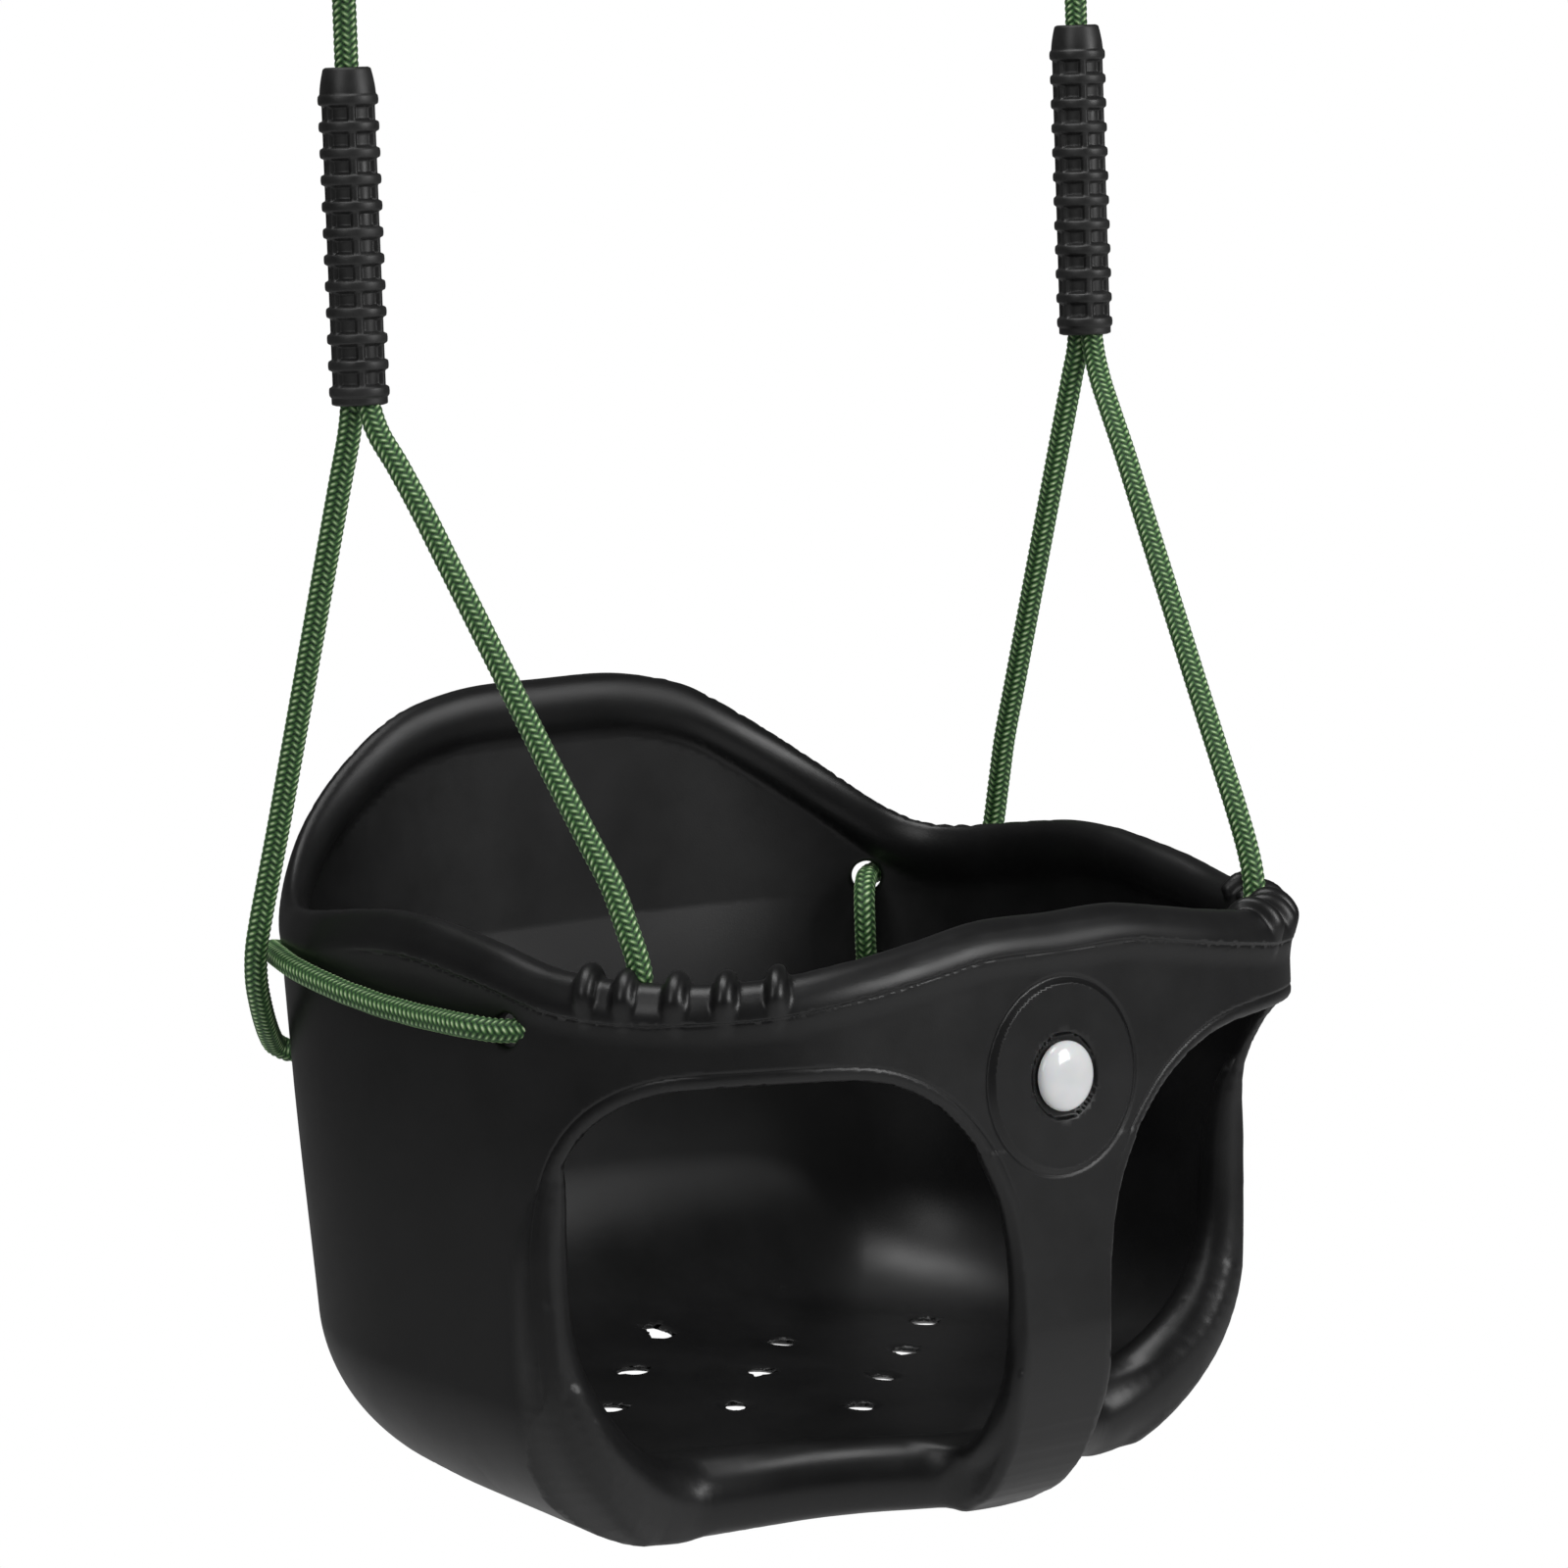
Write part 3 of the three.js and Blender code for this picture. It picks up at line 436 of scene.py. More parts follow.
def braid(theta, along):
    """Height from 0 to 1 of a two-over-two braid, and which way the top strand runs."""
    turn = STRANDS * theta / (2 * math.pi)
    a = turn + along / STITCH
    b = turn - along / STITCH
    ia, ib = np.floor(a), np.floor(b)
    over = np.mod(ia + ib, 4) < 2
    across = np.where(over, a - ia, b - ib) - 0.5
    phase = np.where(over, b, a) + np.where(over, ia, ib)
    run = np.mod(phase, 4) - np.where(over, 1.0, 3.0)
    run = np.mod(run + 2, 4) - 2
    crown = np.sqrt(np.clip(1 - (2 * across) ** 2, 0, 1))
    return crown * np.sqrt(np.clip(1 - (run * STITCH_TAPER) ** 2, 0, 1)), over


def make_rope(side, sign):
    line, along = rope_line(sign)
    across, over = frames_along(line)
    theta, _ = circle(BRAID_SIDES)
    t, s = np.meshgrid(theta, along)
    height, top = braid(t, s)
    radius = ROPE_R + BRAID_RELIEF * (height - BRAID_LEVEL)
    ends = np.minimum(along, along[-1] - along)[:, None]
    radius = radius * np.sqrt(np.clip(ends / ROPE_END_ROUND, 0.02, 1))
    ring = across[:, None, :] * np.cos(t)[..., None] + over[:, None, :] * np.sin(t)[..., None]
    points = line[:, None, :] + ring * radius[..., None]
    verts, faces = ring_skin(list(points))
    piece = new_piece(f"rope_{side}", verts, faces, BRAID, None)
    # crown drives the rope's painted shade in the gaps and painted highlight on each stitch; lay picks the
    # lit or the shaded strand colour
    set_point_value(piece, "crown", np.concatenate([height.ravel(), [0.2, 0.2]]))
    set_point_value(piece, "lay", np.concatenate([top.ravel(), [0, 0]]).astype(float))
    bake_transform(piece)
    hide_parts(*(f"rope_{side}_{part}" for part in ("upper", "seat", "end")))


for side_label, side_sign in SIDES.items():
    make_rope(side_label, side_sign)


# ---- grips
GRIP_RING_R = 9.8
GRIP_RIB_R = 9.15
GRIP_POCKET_R = 8.2
GRIP_RINGS = 12
GRIP_POCKETS = 6
GRIP_SPLIT = math.radians(-12)
SLIT_DEEP, SLIT_HALF, SLIT_WAVE = 0.5, 0.32, 0.05
RING_HALF = 2.1
FIRST_RING_Z = 4.5
GRIP_PITCH = (GRIP_LENGTH - 15) / (GRIP_RINGS - 1)
LAST_RING_Z = FIRST_RING_Z + (GRIP_RINGS - 1) * GRIP_PITCH


def ease(low, high, value):
    t = np.clip((value - low) / (high - low), 0, 1)
    return t * t * (3 - 2 * t)


def grip_radius(theta, z):
    """Rings all round, lengthwise ribs between them, and a pocket in each window that they leave."""
    nearest = np.clip(np.round((z - FIRST_RING_Z) / GRIP_PITCH), 0, GRIP_RINGS - 1)
    off_ring = np.abs(z - FIRST_RING_Z - nearest * GRIP_PITCH)
    ring = np.sqrt(np.clip(1 - (off_ring / RING_HALF) ** 2, 0, 1)) * (GRIP_RING_R - GRIP_RIB_R + 0.05)
    turn = np.mod(theta * GRIP_POCKETS / (2 * math.pi), 1.0)
    off_rib = np.minimum(turn, 1 - turn) * 2 * math.pi / GRIP_POCKETS * GRIP_RIB_R
    window = ease(0.7, 1.9, off_rib) * ease(RING_HALF - 0.75, RING_HALF + 0.6, off_ring)
    window = window * (z > FIRST_RING_Z) * (z < LAST_RING_Z)
    radius = GRIP_RIB_R - 0.55 + ring + 0.55 * ease(2.4, 1.2, off_ring)
    radius = np.maximum(radius, GRIP_RIB_R) - (GRIP_RIB_R - GRIP_POCKET_R + 0.5) * window
    slit = np.mod(theta - GRIP_SPLIT - SLIT_WAVE * np.sin(z * 0.9) + math.pi, 2 * math.pi) - math.pi
    return radius - SLIT_DEEP * np.exp(-((slit * GRIP_RING_R / SLIT_HALF) ** 2))


def oval_radius(theta, half, r):
    """Distance from the middle to an oval of two half circles, half apart along Y."""
    c, s = np.cos(theta), np.abs(np.sin(theta))
    flat = r / np.maximum(np.abs(c), 1e-6)
    b = half * s
    round_end = b + np.sqrt(np.maximum(b * b + r * r - half * half, 0))
    return np.where(flat * s <= half, flat, round_end)


GRIP_SIDES, GRIP_STEPS = 180, 300
FOOT_ROUND, FOOT_R, TOP_ROUND = 1.6, 7.9, 0.8
NECK_BELOW, NECK_TAPER, NECK_CURVE = 1.6, 1.5, 1.6
SLOT_TOP, BORE_BOTTOM = 78, 90
BORE_R = ROPE_R + 0.45
SLOT_R = ROPE_R + 0.35


def grip_outer(theta, z):
    """The grip's outer radius, with its rounded foot, its tapered neck and its rounded top."""
    r = grip_radius(theta, z)
    mouth = LAST_RING_Z + NECK_BELOW
    if z < FOOT_ROUND:
        r = np.minimum(r, FOOT_R + 1.7 * math.sqrt(1 - (1 - z / FOOT_ROUND) ** 2))
    if z > mouth:
        share = (z - mouth) / (GRIP_LENGTH - mouth)
        r = np.minimum(r, GRIP_RIB_R - NECK_TAPER * share ** NECK_CURVE) if share > 0.02 else r
    if z > GRIP_LENGTH - TOP_ROUND:
        over = (z - GRIP_LENGTH + TOP_ROUND) / TOP_ROUND
        r = r - TOP_ROUND * (1 - math.sqrt(max(0.0, 1 - over ** 2)))
    return r


def make_grip(side, sign):
    theta, direction = circle(GRIP_SIDES)
    levels = [(grip_outer(theta, z), z) for z in np.linspace(0, GRIP_LENGTH, GRIP_STEPS)]
    bore = np.full(GRIP_SIDES, BORE_R)
    slot = oval_radius(theta, STRAND_Y, SLOT_R)
    levels += [(bore + 1.2, GRIP_LENGTH), (bore, GRIP_LENGTH - 1.5), (bore, BORE_BOTTOM)]
    levels += [(slot, SLOT_TOP), (slot, 1.5), (np.minimum(slot + 0.8, FOOT_R - 0.3), 0)]
    rings = [direction * r[:, None] + [0, 0, z] for r, z in levels]
    verts, faces = ring_skin(rings, closed=True)
    verts = verts + [sign * GRIP_X, HANG_Y, GRIP_BOTTOM[side]]
    piece = new_piece(f"handgrip_{side}", verts, faces, RUBBER, "hanging")
    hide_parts(f"grip_{side}")


# ---- crimp sleeves
FERRULE_LOW, FERRULE_HIGH = 494.0, 516.0
FERRULE_WALL, FERRULE_ROUND = 1.9, 0.8
PRESS_AT, PRESS_WIDE, PRESS_DEEP = (5.0, 11.0, 17.0), 1.5, 0.45


def make_ferrule(side, sign):
    theta, direction = circle(96)
    half = TAIL_Y / 2
    length = FERRULE_HIGH - FERRULE_LOW
    rings = []
    for z in np.linspace(0, length, 67):
        press = PRESS_DEEP * sum(math.exp(-(((z - at) / PRESS_WIDE) ** 2)) for at in PRESS_AT)
        edge = max(0.0, 1 - min(z, length - z) / FERRULE_ROUND)
        lip = FERRULE_WALL - FERRULE_ROUND * (1 - math.sqrt(max(0.0, 1 - edge ** 2)))
        r = oval_radius(theta, half, ROPE_R + lip - press)
        rings.append(direction * r[:, None] + [0, 0, z])
    inner = direction * oval_radius(theta, half, ROPE_R + 0.3)[:, None]
    rings += [inner + [0, 0, length], inner]
    verts, faces = ring_skin(rings, closed=True)
    verts = verts + [sign * GRIP_X, HANG_Y - half, FERRULE_LOW]
    piece = new_piece(f"crimp_sleeve_{side}", verts, faces, CRIMP, "hanging", smooth_angle=50)
    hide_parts(f"ferrule_{side}")


# ---- quick links
WIRE_R = 4.0
LINK_HEIGHT, LINK_WIDTH = 74.0, 35.0
LINK_BOW = (LINK_WIDTH - 2 * WIRE_R) / 2
LINK_HALF = LINK_HEIGHT / 2 - WIRE_R - LINK_BOW
LINK_MIDDLE = BIGHT_Z - WIRE_R + LINK_HEIGHT / 2
LINK_SIDES = 32
NUT_LENGTH, NUT_FLATS, NUT_BORE_R, NUT_TOP = 25.5, 13.5, 4.9, 19.1
NUT_CHAMFER = 0.5
COLLAR_R, COLLAR_THICK = 5.6, 1.6
THREAD_PITCH, THREAD_DEEP, THREAD_END_R = 1.25, 0.62, 2.9
THREAD_TOP = NUT_TOP + 0.3
GAP_TOP = NUT_TOP - 7
GAP_BOTTOM = GAP_TOP - 12
THREAD_BOTTOM = GAP_BOTTOM - 7


def threaded(length):
    """Rings of a threaded rod along +Z from 0, one helical ridge, with a chamfered end at z = 0."""
    theta, direction = circle(LINK_SIDES)
    rings = []
    for z in np.linspace(0, length, int(length / THREAD_PITCH * 10) + 1):
        phase = np.mod(z / THREAD_PITCH - theta / (2 * math.pi), 1.0)
        r = np.minimum(WIRE_R - THREAD_DEEP * np.abs(2 * phase - 1), THREAD_END_R + z)
        rings.append(direction * r[:, None] + [0, 0, z])
    return ring_skin(rings)


def link_wire():
    """The oval's wire, open where the nut closes it."""
    turn = np.linspace(0, math.pi, 49)
    line = [(LINK_BOW, 0, THREAD_TOP - 0.4)]
    line += [(LINK_BOW * math.cos(t), 0, LINK_HALF + LINK_BOW * math.sin(t)) for t in turn]
    line += [(-LINK_BOW * math.cos(t), 0, -LINK_HALF - LINK_BOW * math.sin(t)) for t in turn]
    line += [(LINK_BOW, 0, THREAD_BOTTOM)]
    line, _ = even(np.array(line, float), 1.2)
    across, over = frames_along(line, (0.0, 1.0, 0.0))
    theta, _ = circle(LINK_SIDES)
    c, s = np.cos(theta)[:, None], np.sin(theta)[:, None]
    return ring_skin([p + WIRE_R * (c * a + s * o) for p, a, o in zip(line, across, over)])


def link_collar():
    inner = WIRE_R - 0.2
    profile = [
        (inner, 0), (COLLAR_R - 0.4, 0), (COLLAR_R, 0.35), (COLLAR_R, COLLAR_THICK - 0.5),
        (COLLAR_R - 0.5, COLLAR_THICK), (inner, COLLAR_THICK + 0.5),
    ]
    _, direction = circle(LINK_SIDES)
    return ring_skin([direction * r + [0, 0, z] for r, z in profile], closed=True)


def make_link(side, sign):
    place = np.array([sign * GRIP_X, HANG_Y, LINK_MIDDLE])

    def piece(name, skin, move, material, angle):
        verts, faces = skin
        return new_piece(name, verts + place + move, faces, material, "links", smooth_angle=angle)

    wire = piece(f"quick_link_{side}", link_wire(), [0, 0, 0], PAINT, 60)
    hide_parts(f"link_body_{side}")
    collar = piece(f"quick_link_collar_{side}", link_collar(), [LINK_BOW, 0, THREAD_TOP], PAINT, 35)
    collar.parent = wire
    upper = threaded(THREAD_TOP - GAP_TOP)
    piece(f"quick_link_thread_{side}_upper", upper, [LINK_BOW, 0, GAP_TOP], THREAD, 70)
    verts, faces = threaded(GAP_BOTTOM - THREAD_BOTTOM)
    lower = (verts * [1, -1, -1], faces)
    piece(f"quick_link_thread_{side}_lower", lower, [LINK_BOW, 0, GAP_BOTTOM], THREAD, 70)


def make_nut(side, sign):
    """A hexagonal sleeve with bevelled ends and slightly blunted corners."""
    theta, direction = circle(120)
    apothem = NUT_FLATS / 2
    corner = apothem / math.cos(math.pi / 6)
    sector = np.mod(theta, math.pi / 3) - math.pi / 6
    hexagon = np.minimum(apothem / np.cos(sector), corner - 0.28)
    bevel = np.array([0, 0.25, 0.5, 0.75, 1.0, 1.3, 1.7])
    middle = np.linspace(2.2, NUT_LENGTH - 2.2, 12)
    levels = []
    for z in np.concatenate([bevel, middle, NUT_LENGTH - bevel[::-1]]):
        edge = min(z, NUT_LENGTH - z)
        levels.append((np.minimum(hexagon, apothem - 0.25 + edge * 1.1), z))
    wide, bore = (np.full(len(theta), NUT_BORE_R + more) for more in (NUT_CHAMFER, 0))
    levels += [(wide, NUT_LENGTH), (bore, NUT_LENGTH - 0.6), (bore, 0.6), (wide, 0)]
    verts, faces = ring_skin([direction * r[:, None] + [0, 0, z] for r, z in levels], closed=True)
    verts = verts + [sign * GRIP_X + LINK_BOW, HANG_Y, LINK_MIDDLE + NUT_TOP - NUT_LENGTH]
    piece = new_piece(f"quick_link_nut_{side}", verts, faces, PAINT, f"nut_{side}", smooth_angle=18)
    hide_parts(f"link_nut_{side}")


for side_label, side_sign in SIDES.items():
    make_grip(side_label, side_sign)
    make_ferrule(side_label, side_sign)
    make_link(side_label, side_sign)
    make_nut(side_label, side_sign)

# ---- front button and its retainer
SEAT_FRONT_Y = -151.0
WALL = 5.0
BOSS_Z = 135.0
BUTTON_R, BUTTON_DOME, BUTTON_EDGE = 11.6, 5.5, 1.4
SHANK_R = 4.0


def turned(profile, along_y, place):
    """Rings turned about Y: the profile has (radius, distance from place towards along_y times Y)."""
    _, direction = circle(96)
    return [direction[:, [0, 2, 1]] * r + [0, along_y * h, 0] + place for r, h in profile]


def make_button():
    dome = []
    for a in np.linspace(0, math.pi / 2, 20):
        radius = max(0.01, BUTTON_R * max(0.0, math.cos(a)) ** 0.85)
        dome.append((radius, BUTTON_EDGE + (BUTTON_DOME - BUTTON_EDGE) * math.sin(a)))
    shank_end = -(WALL + 6)
    profile = [(0.01, shank_end), (SHANK_R - 0.6, shank_end), (SHANK_R, shank_end + 0.6), (SHANK_R, 0.3)]
    profile += [(BUTTON_R - 0.5, 0.3), (BUTTON_R - 0.1, 0.6)] + dome
    verts, faces = ring_skin(turned(profile, -1, [0, SEAT_FRONT_Y, BOSS_Z]))
    piece = new_piece("button_cap", verts, faces, WHITE, "seat", smooth_angle=40)
    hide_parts("front_button")


def make_retainer():
    inner = SHANK_R + 0.3
    profile = [
        (inner, 0), (9.7, 0), (10, 0.3), (10, 1.0), (9.6, 1.4), (8.2, 1.6), (7.2, 2.4), (6.6, 2.8),
        (inner, 2.8),
    ]
    rings = turned(profile, 1, [0, SEAT_FRONT_Y + WALL + 0.3, BOSS_Z])
    verts, faces = ring_skin(rings, closed=True)
    piece = new_piece("button_washer", verts, faces, SEAT, "seat", smooth_angle=40)
    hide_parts("button_retainer")


make_button()
make_retainer()

# ---- seat: driving dimensions, mm
HALF_WIDTH = 158.0
BACK_Y = 121.5
BACK_LEAN = 0.1
LEAN_TOP = 165.0
PLAN_POWER = 3.4
SIDE_TAPER = 2.4
FLOOR_WALL = 6.0
FLOOR_THINNED = 2.4
CORNER_R, CORNER_R_INSIDE = 52.0, 46.5
CORNER_LESS_BACK, CORNER_MORE_BEHIND = 8, 13
BEAD_R, BEAD_TALL, BEAD_BLEND = 7.0, 9.0, 5.0
RIM_CUT_BLEND = 6.0
BEAD_SLIMMER = 2.6
MOULD_LINE_STEP, MOULD_LINE_DEEP, MOULD_LINE_HALF = 0.75, 0.3, 0.45
RIM_HEIGHTS = [
    (0, 188), (34, 188), (54, 185), (73, 182), (92, 179.5), (108, 177.5), (130, 176.5), (150, 177),
    (172, 178.5), (192, 181), (214, 186.5), (232, 190), (250, 193), (275, 194.5), (305, 192), (330, 190),
    (348, 191), (362, 197), (380, 209.5), (398, 222), (417, 234), (437, 244.5), (464, 251), (505, 252.5),
]
LEG_LOW = 40.0
# A leg opening's edge: distance walked round the wall, and height, from the post over to the side wall.
LEG_EDGE = [
    (20.5, -60), (20.5, 10), (20.6, 40), (20.8, 56), (21.6, 72), (23.6, 86), (27.8, 99), (35.4, 112.8),
    (46, 125), (56, 132.5), (67, 138), (80, 141.6), (98, 143.2), (124, 143.6), (145, 142.6),
    (157, 140), (168, 135.4), (178, 128.8), (187, 119.5), (193, 109.5), (196.5, 99), (198, 86), (198, 70),
    (198, 40), (198, 10), (198, -60),
]
LEG_DEPTH, LEG_EDGE_ROUND = 34.0, 3.5
CREASE_AT, CREASE_DEEP, CREASE_HALF = 5.0, 0.32, 0.5
# The outer edge of the rolled flange below, as a front view: half width and height.
FLANGE_EDGE = [
    (157.6, 110), (157.0, 85.5), (156.3, 66), (155.2, 50), (152.2, 37), (146.2, 23.4), (137.6, 10.6),
    (122, -4.4), (106, -12.8), (90, -18), (60, -19.5),
]
FLANGE_STRAIGHT_Y, FLANGE_FLARE = -72, 0.45
FLOOR_FRONT = [(18, -98), (36, -80), (60, -66), (88, -59), (104, -61), (118, -67), (132, -71), (176, -73)]
FLOOR_CUT_TOP, FLOOR_CUT_HALF_POST = 72.0, 20.7
FRONT_ROLL = [
    (151.5, -77, 118, 1.5), (150.8, -71.5, 106, 4.8), (150, -67.5, 84, 6), (149.3, -66.5, 64, 6.8),
    (146.6, -66.5, 48, 8), (142, -66.5, 35, 9.6), (135, -65.5, 23.5, 11), (126, -63, 13.5, 12),
    (114, -59.5, 4.5, 12.6), (101, -57, -1.5, 13), (88, -57, -4, 13), (75, -61.5, -3.6, 13),
    (62, -68, -2.6, 12.8), (49, -76, -1.4, 12.6), (35, -87, -0.4, 12.4), (22, -98, 0, 12.2),
    (9, -106, 0, 12), (0, -108, 0, 12),
]
POST = [
    (112, -150.9, -144, 34), (98, -150.8, -144, 26.8), (84, -150.6, -143.8, 23), (70, -150.3, -143.3, 21.4),
    (56, -149.6, -142.2, 20.9), (42, -148.5, -140, 20.8), (29, -146.3, -136, 20.6),
    (17, -142.6, -130.5, 20), (7, -136.6, -123, 19), (-1, -128.5, -115, 18), (-7, -118, -108, 17),
]
POST_EDGE_R = 3.0
ROPE_HOLE_R, ROPE_HOLE_ROUND, ROPE_HOLE_NEAR = 5.4, 1.6, 30
ROPE_HOLES = [(209, 160.2), (369, 171), (367, 137.3)]
RIBS_U = (175, 161, 144, 128, 111)
RIB_R, RIB_PROUD, RIB_BLEND = 3.5, 0.9, 2.2
RIB_TURN = (-24, 132)  # degrees round the bead, from level outside, up and over
DRAIN_R, DRAIN_CONE = 3.4, 2.6
DISH_R, DISH_ABOVE = 10.5, 9.0
DRAIN_STEP = (33.4, 27.0)
DRAIN_FRONT_Y = -45.5
BOSS_R, BOSS_PROUD = 31.6, 1.2
BUTTON_RECESS_R = 14.0
HALO_DEEP, HALO_HALF = 0.4, 0.75


# ---- seat: the plan of its wall
def plan_halves(z):
    back = BACK_Y - BACK_LEAN * (LEAN_TOP - np.minimum(z, LEAN_TOP))
    return (back - SEAT_FRONT_Y) / 2, (back + SEAT_FRONT_Y) / 2


def plan_point(t, z=LEAN_TOP):
    half, centre = plan_halves(z)
    c, s = np.cos(t), np.sin(t)
    x = np.sign(c) * np.abs(c) ** (2 / PLAN_POWER) * HALF_WIDTH
    y = centre + np.sign(s) * np.abs(s) ** (2 / PLAN_POWER) * half
    return x, y


WALK_T = np.linspace(-math.pi / 2, math.pi / 2, 2001)
WALK_X, WALK_Y = plan_point(WALK_T)
WALK = np.concatenate([[0], np.cumsum(np.hypot(np.diff(WALK_X), np.diff(WALK_Y)))])


def rim_table():
    """Rim height at even steps round the wall, eased between the stated heights."""
    u, h = (np.array(v, float) for v in zip(*RIM_HEIGHTS))
    slope = np.gradient(h, u)
    slope[0] = slope[-1] = 0
    at = np.linspace(0, u[-1], 1500)
    i = np.clip(np.searchsorted(u, at, side="right") - 1, 0, len(u) - 2)
    gap = u[i + 1] - u[i]
    w = (at - u[i]) / gap
    height = (
        (2 * w ** 3 - 3 * w ** 2 + 1) * h[i] + (w ** 3 - 2 * w ** 2 + w) * slope[i] * gap
        + (3 * w ** 2 - 2 * w ** 3) * h[i + 1] + (w ** 3 - w ** 2) * slope[i + 1] * gap
    )
    reach = 24
    soft = np.exp(-0.5 * (np.arange(-reach, reach + 1) / 9.0) ** 2)
    return at, np.convolve(np.pad(height, reach, mode="edge"), soft / soft.sum(), "valid")


RIM_U, RIM_H = rim_table()


def rim_line(u):
    """How far below the rim's top its mould line runs."""
    return 11.7 + 1.5 * ease(128, 168, u)


def wall_at(x, y, z):
    """Distance outside the wall's skin, distance walked round it, and angle in its plan (x >= 0)."""
    half, centre = plan_halves(z)
    fx = np.maximum(x, 1e-6) / (HALF_WIDTH - SIDE_TAPER * ease(135, 30, z))
    fy = (y - centre) / half
    ay = np.maximum(np.abs(fy), 1e-6)
    p = PLAN_POWER
    total = fx ** p + ay ** p
    level = total ** (1 / p)
    gx = fx ** (p - 1) / HALF_WIDTH
    gy = ay ** (p - 1) / half
    slope = total ** (1 / p - 1) * np.hypot(gx, gy)
    t = np.arctan2(np.sign(fy) * ay ** (p / 2), fx ** (p / 2))
    return (level - 1) / slope, np.interp(t, WALK_T, WALK), t


def floor_level(x, y):
    return 11.2 + 0.102 * np.maximum(-90, y) - 3.2 * ease(0, 90, x)


def floor_under(x, y):
    """The underside, with its deeper strip beside each side wall."""
    start = np.clip(84 + 0.25 * y, 70, 98)
    return floor_level(x, y) - (13 - 0.07 * y) * ease(start, start + 24, x)


def smooth_union(a, b, k):
    h = np.maximum(k - np.abs(a - b), 0) / k
    return np.minimum(a, b) - h * h * k / 4


def smooth_cut(a, b, k):
    return -smooth_union(-a, b, k)


def rounded_inside(a, b, r):
    """Depth inside a corner of radius r between two faces that lie a and b away."""
    corner = np.hypot(np.maximum(r - a, 0), np.maximum(r - b, 0))
    return r - corner + np.maximum(np.minimum(a, b) - r, 0)


def smooth_line(points):
    """A Catmull-Rom line through rows of numbers, three pieces a row."""
    rows = np.asarray(points, float)
    wide = np.concatenate([[2 * rows[0] - rows[1]], rows, [2 * rows[-1] - rows[-2]]])
    out = []
    for i in range(1, len(wide) - 2):
        p0, p1, p2, p3 = wide[i - 1:i + 3]
        s = (np.arange(3) / 3)[:, None]
        out.append(0.5 * (2 * p1 + (p2 - p0) * s + (2 * p0 - 5 * p1 + 4 * p2 - p3) * s ** 2
                          + (3 * p1 - p0 - 3 * p2 + p3) * s ** 3))
    out.append(rows[-1:])
    return np.concatenate(out)


def beside_line(u, v, line):
    """Distance to a line in the plane, negative on its right-hand side."""
    best = np.full(len(u), 1e6)
    side = np.ones(len(u))
    for (au, av), (bu, bv) in zip(line[:-1], line[1:]):
        du, dv = bu - au, bv - av
        share = np.clip(((u - au) * du + (v - av) * dv) / (du * du + dv * dv), 0, 1)
        gap = (u - au - share * du) ** 2 + (v - av - share * dv) ** 2
        nearer = gap < best - 1e-9
        best = np.where(nearer, gap, best)
        side = np.where(nearer, np.where(du * (v - av) - dv * (u - au) < 0, -1.0, 1.0), side)
    return np.sqrt(best) * side


LEG_LINE = smooth_line(LEG_EDGE)
FLANGE_LINE = smooth_line(FLANGE_EDGE)


# ---- seat: front roll and post
def swept(points, path):
    """Distance to a round bar along a path of (x, y, z, radius)."""
    best = np.full(len(points), 1e3)
    for a, b in zip(path[:-1], path[1:]):
        ab = b[:3] - a[:3]
        share = np.clip((points - a[:3]) @ ab / ab.dot(ab), 0, 1)
        gap = points - a[:3] - share[:, None] * ab
        best = np.minimum(best, np.sqrt(np.einsum("ij,ij->i", gap, gap)) - (a[3] + (b[3] - a[3]) * share))
    return best


ROLL_PATH = smooth_line(FRONT_ROLL)
POST_ROWS = np.array([(z, (f + b) / 2, (b - f) / 2, h) for z, f, b, h in POST], float)
POST_PATH = smooth_line(POST_ROWS)


def post_at(x, y, z):
    """Distance to the post: a flat bar with rounded edges that sweeps back under the seat."""
    best = np.full(len(x), 1e3)
    thick = np.zeros(len(x))
    half = np.zeros(len(x))
    for a, b in zip(POST_PATH[:-1], POST_PATH[1:]):
        dz, dy = b[0] - a[0], b[1] - a[1]
        share = np.clip(((z - a[0]) * dz + (y - a[1]) * dy) / (dz * dz + dy * dy), 0, 1)
        gap = np.hypot(z - a[0] - share * dz, y - a[1] - share * dy)
        nearer = gap < best
        best = np.where(nearer, gap, best)
        thick = np.where(nearer, a[2] + (b[2] - a[2]) * share, thick)
        half = np.where(nearer, a[3] + (b[3] - a[3]) * share, half)
    qx = x - half + POST_EDGE_R
    qt = best - thick + POST_EDGE_R
    corner = np.hypot(np.maximum(qx, 0), np.maximum(qt, 0))
    return np.minimum(np.maximum(qx, qt), 0) + corner - POST_EDGE_R


def drain_places():
    """Eleven drain holes: a staggered wedge that widens towards the back, and one behind it."""
    places = []
    for row in range(5):
        for column in range(-3, 4):
            if (row + column) % 2 == 0 and abs(column) <= (row if row <= 3 else 0):
                places.append((column * DRAIN_STEP[0], DRAIN_FRONT_Y + row * DRAIN_STEP[1]))
    return places


def hole_frames():
    """Place and direction of each rope hole on the right side."""
    out = []
    for u, z in ROPE_HOLES:
        t = np.interp(u, WALK, WALK_T)
        step = np.interp(u + 1, WALK, WALK_T)
        x0, y0 = plan_point(t, z)
        x1, y1 = plan_point(step, z)
        along = np.array([x1 - x0, y1 - y0, 0.0])
        along /= np.linalg.norm(along)
        out.append((np.array([x0, y0, z]), np.array([-along[1], along[0], 0.0])))
    return out


HOLE_FRAMES = hole_frames()


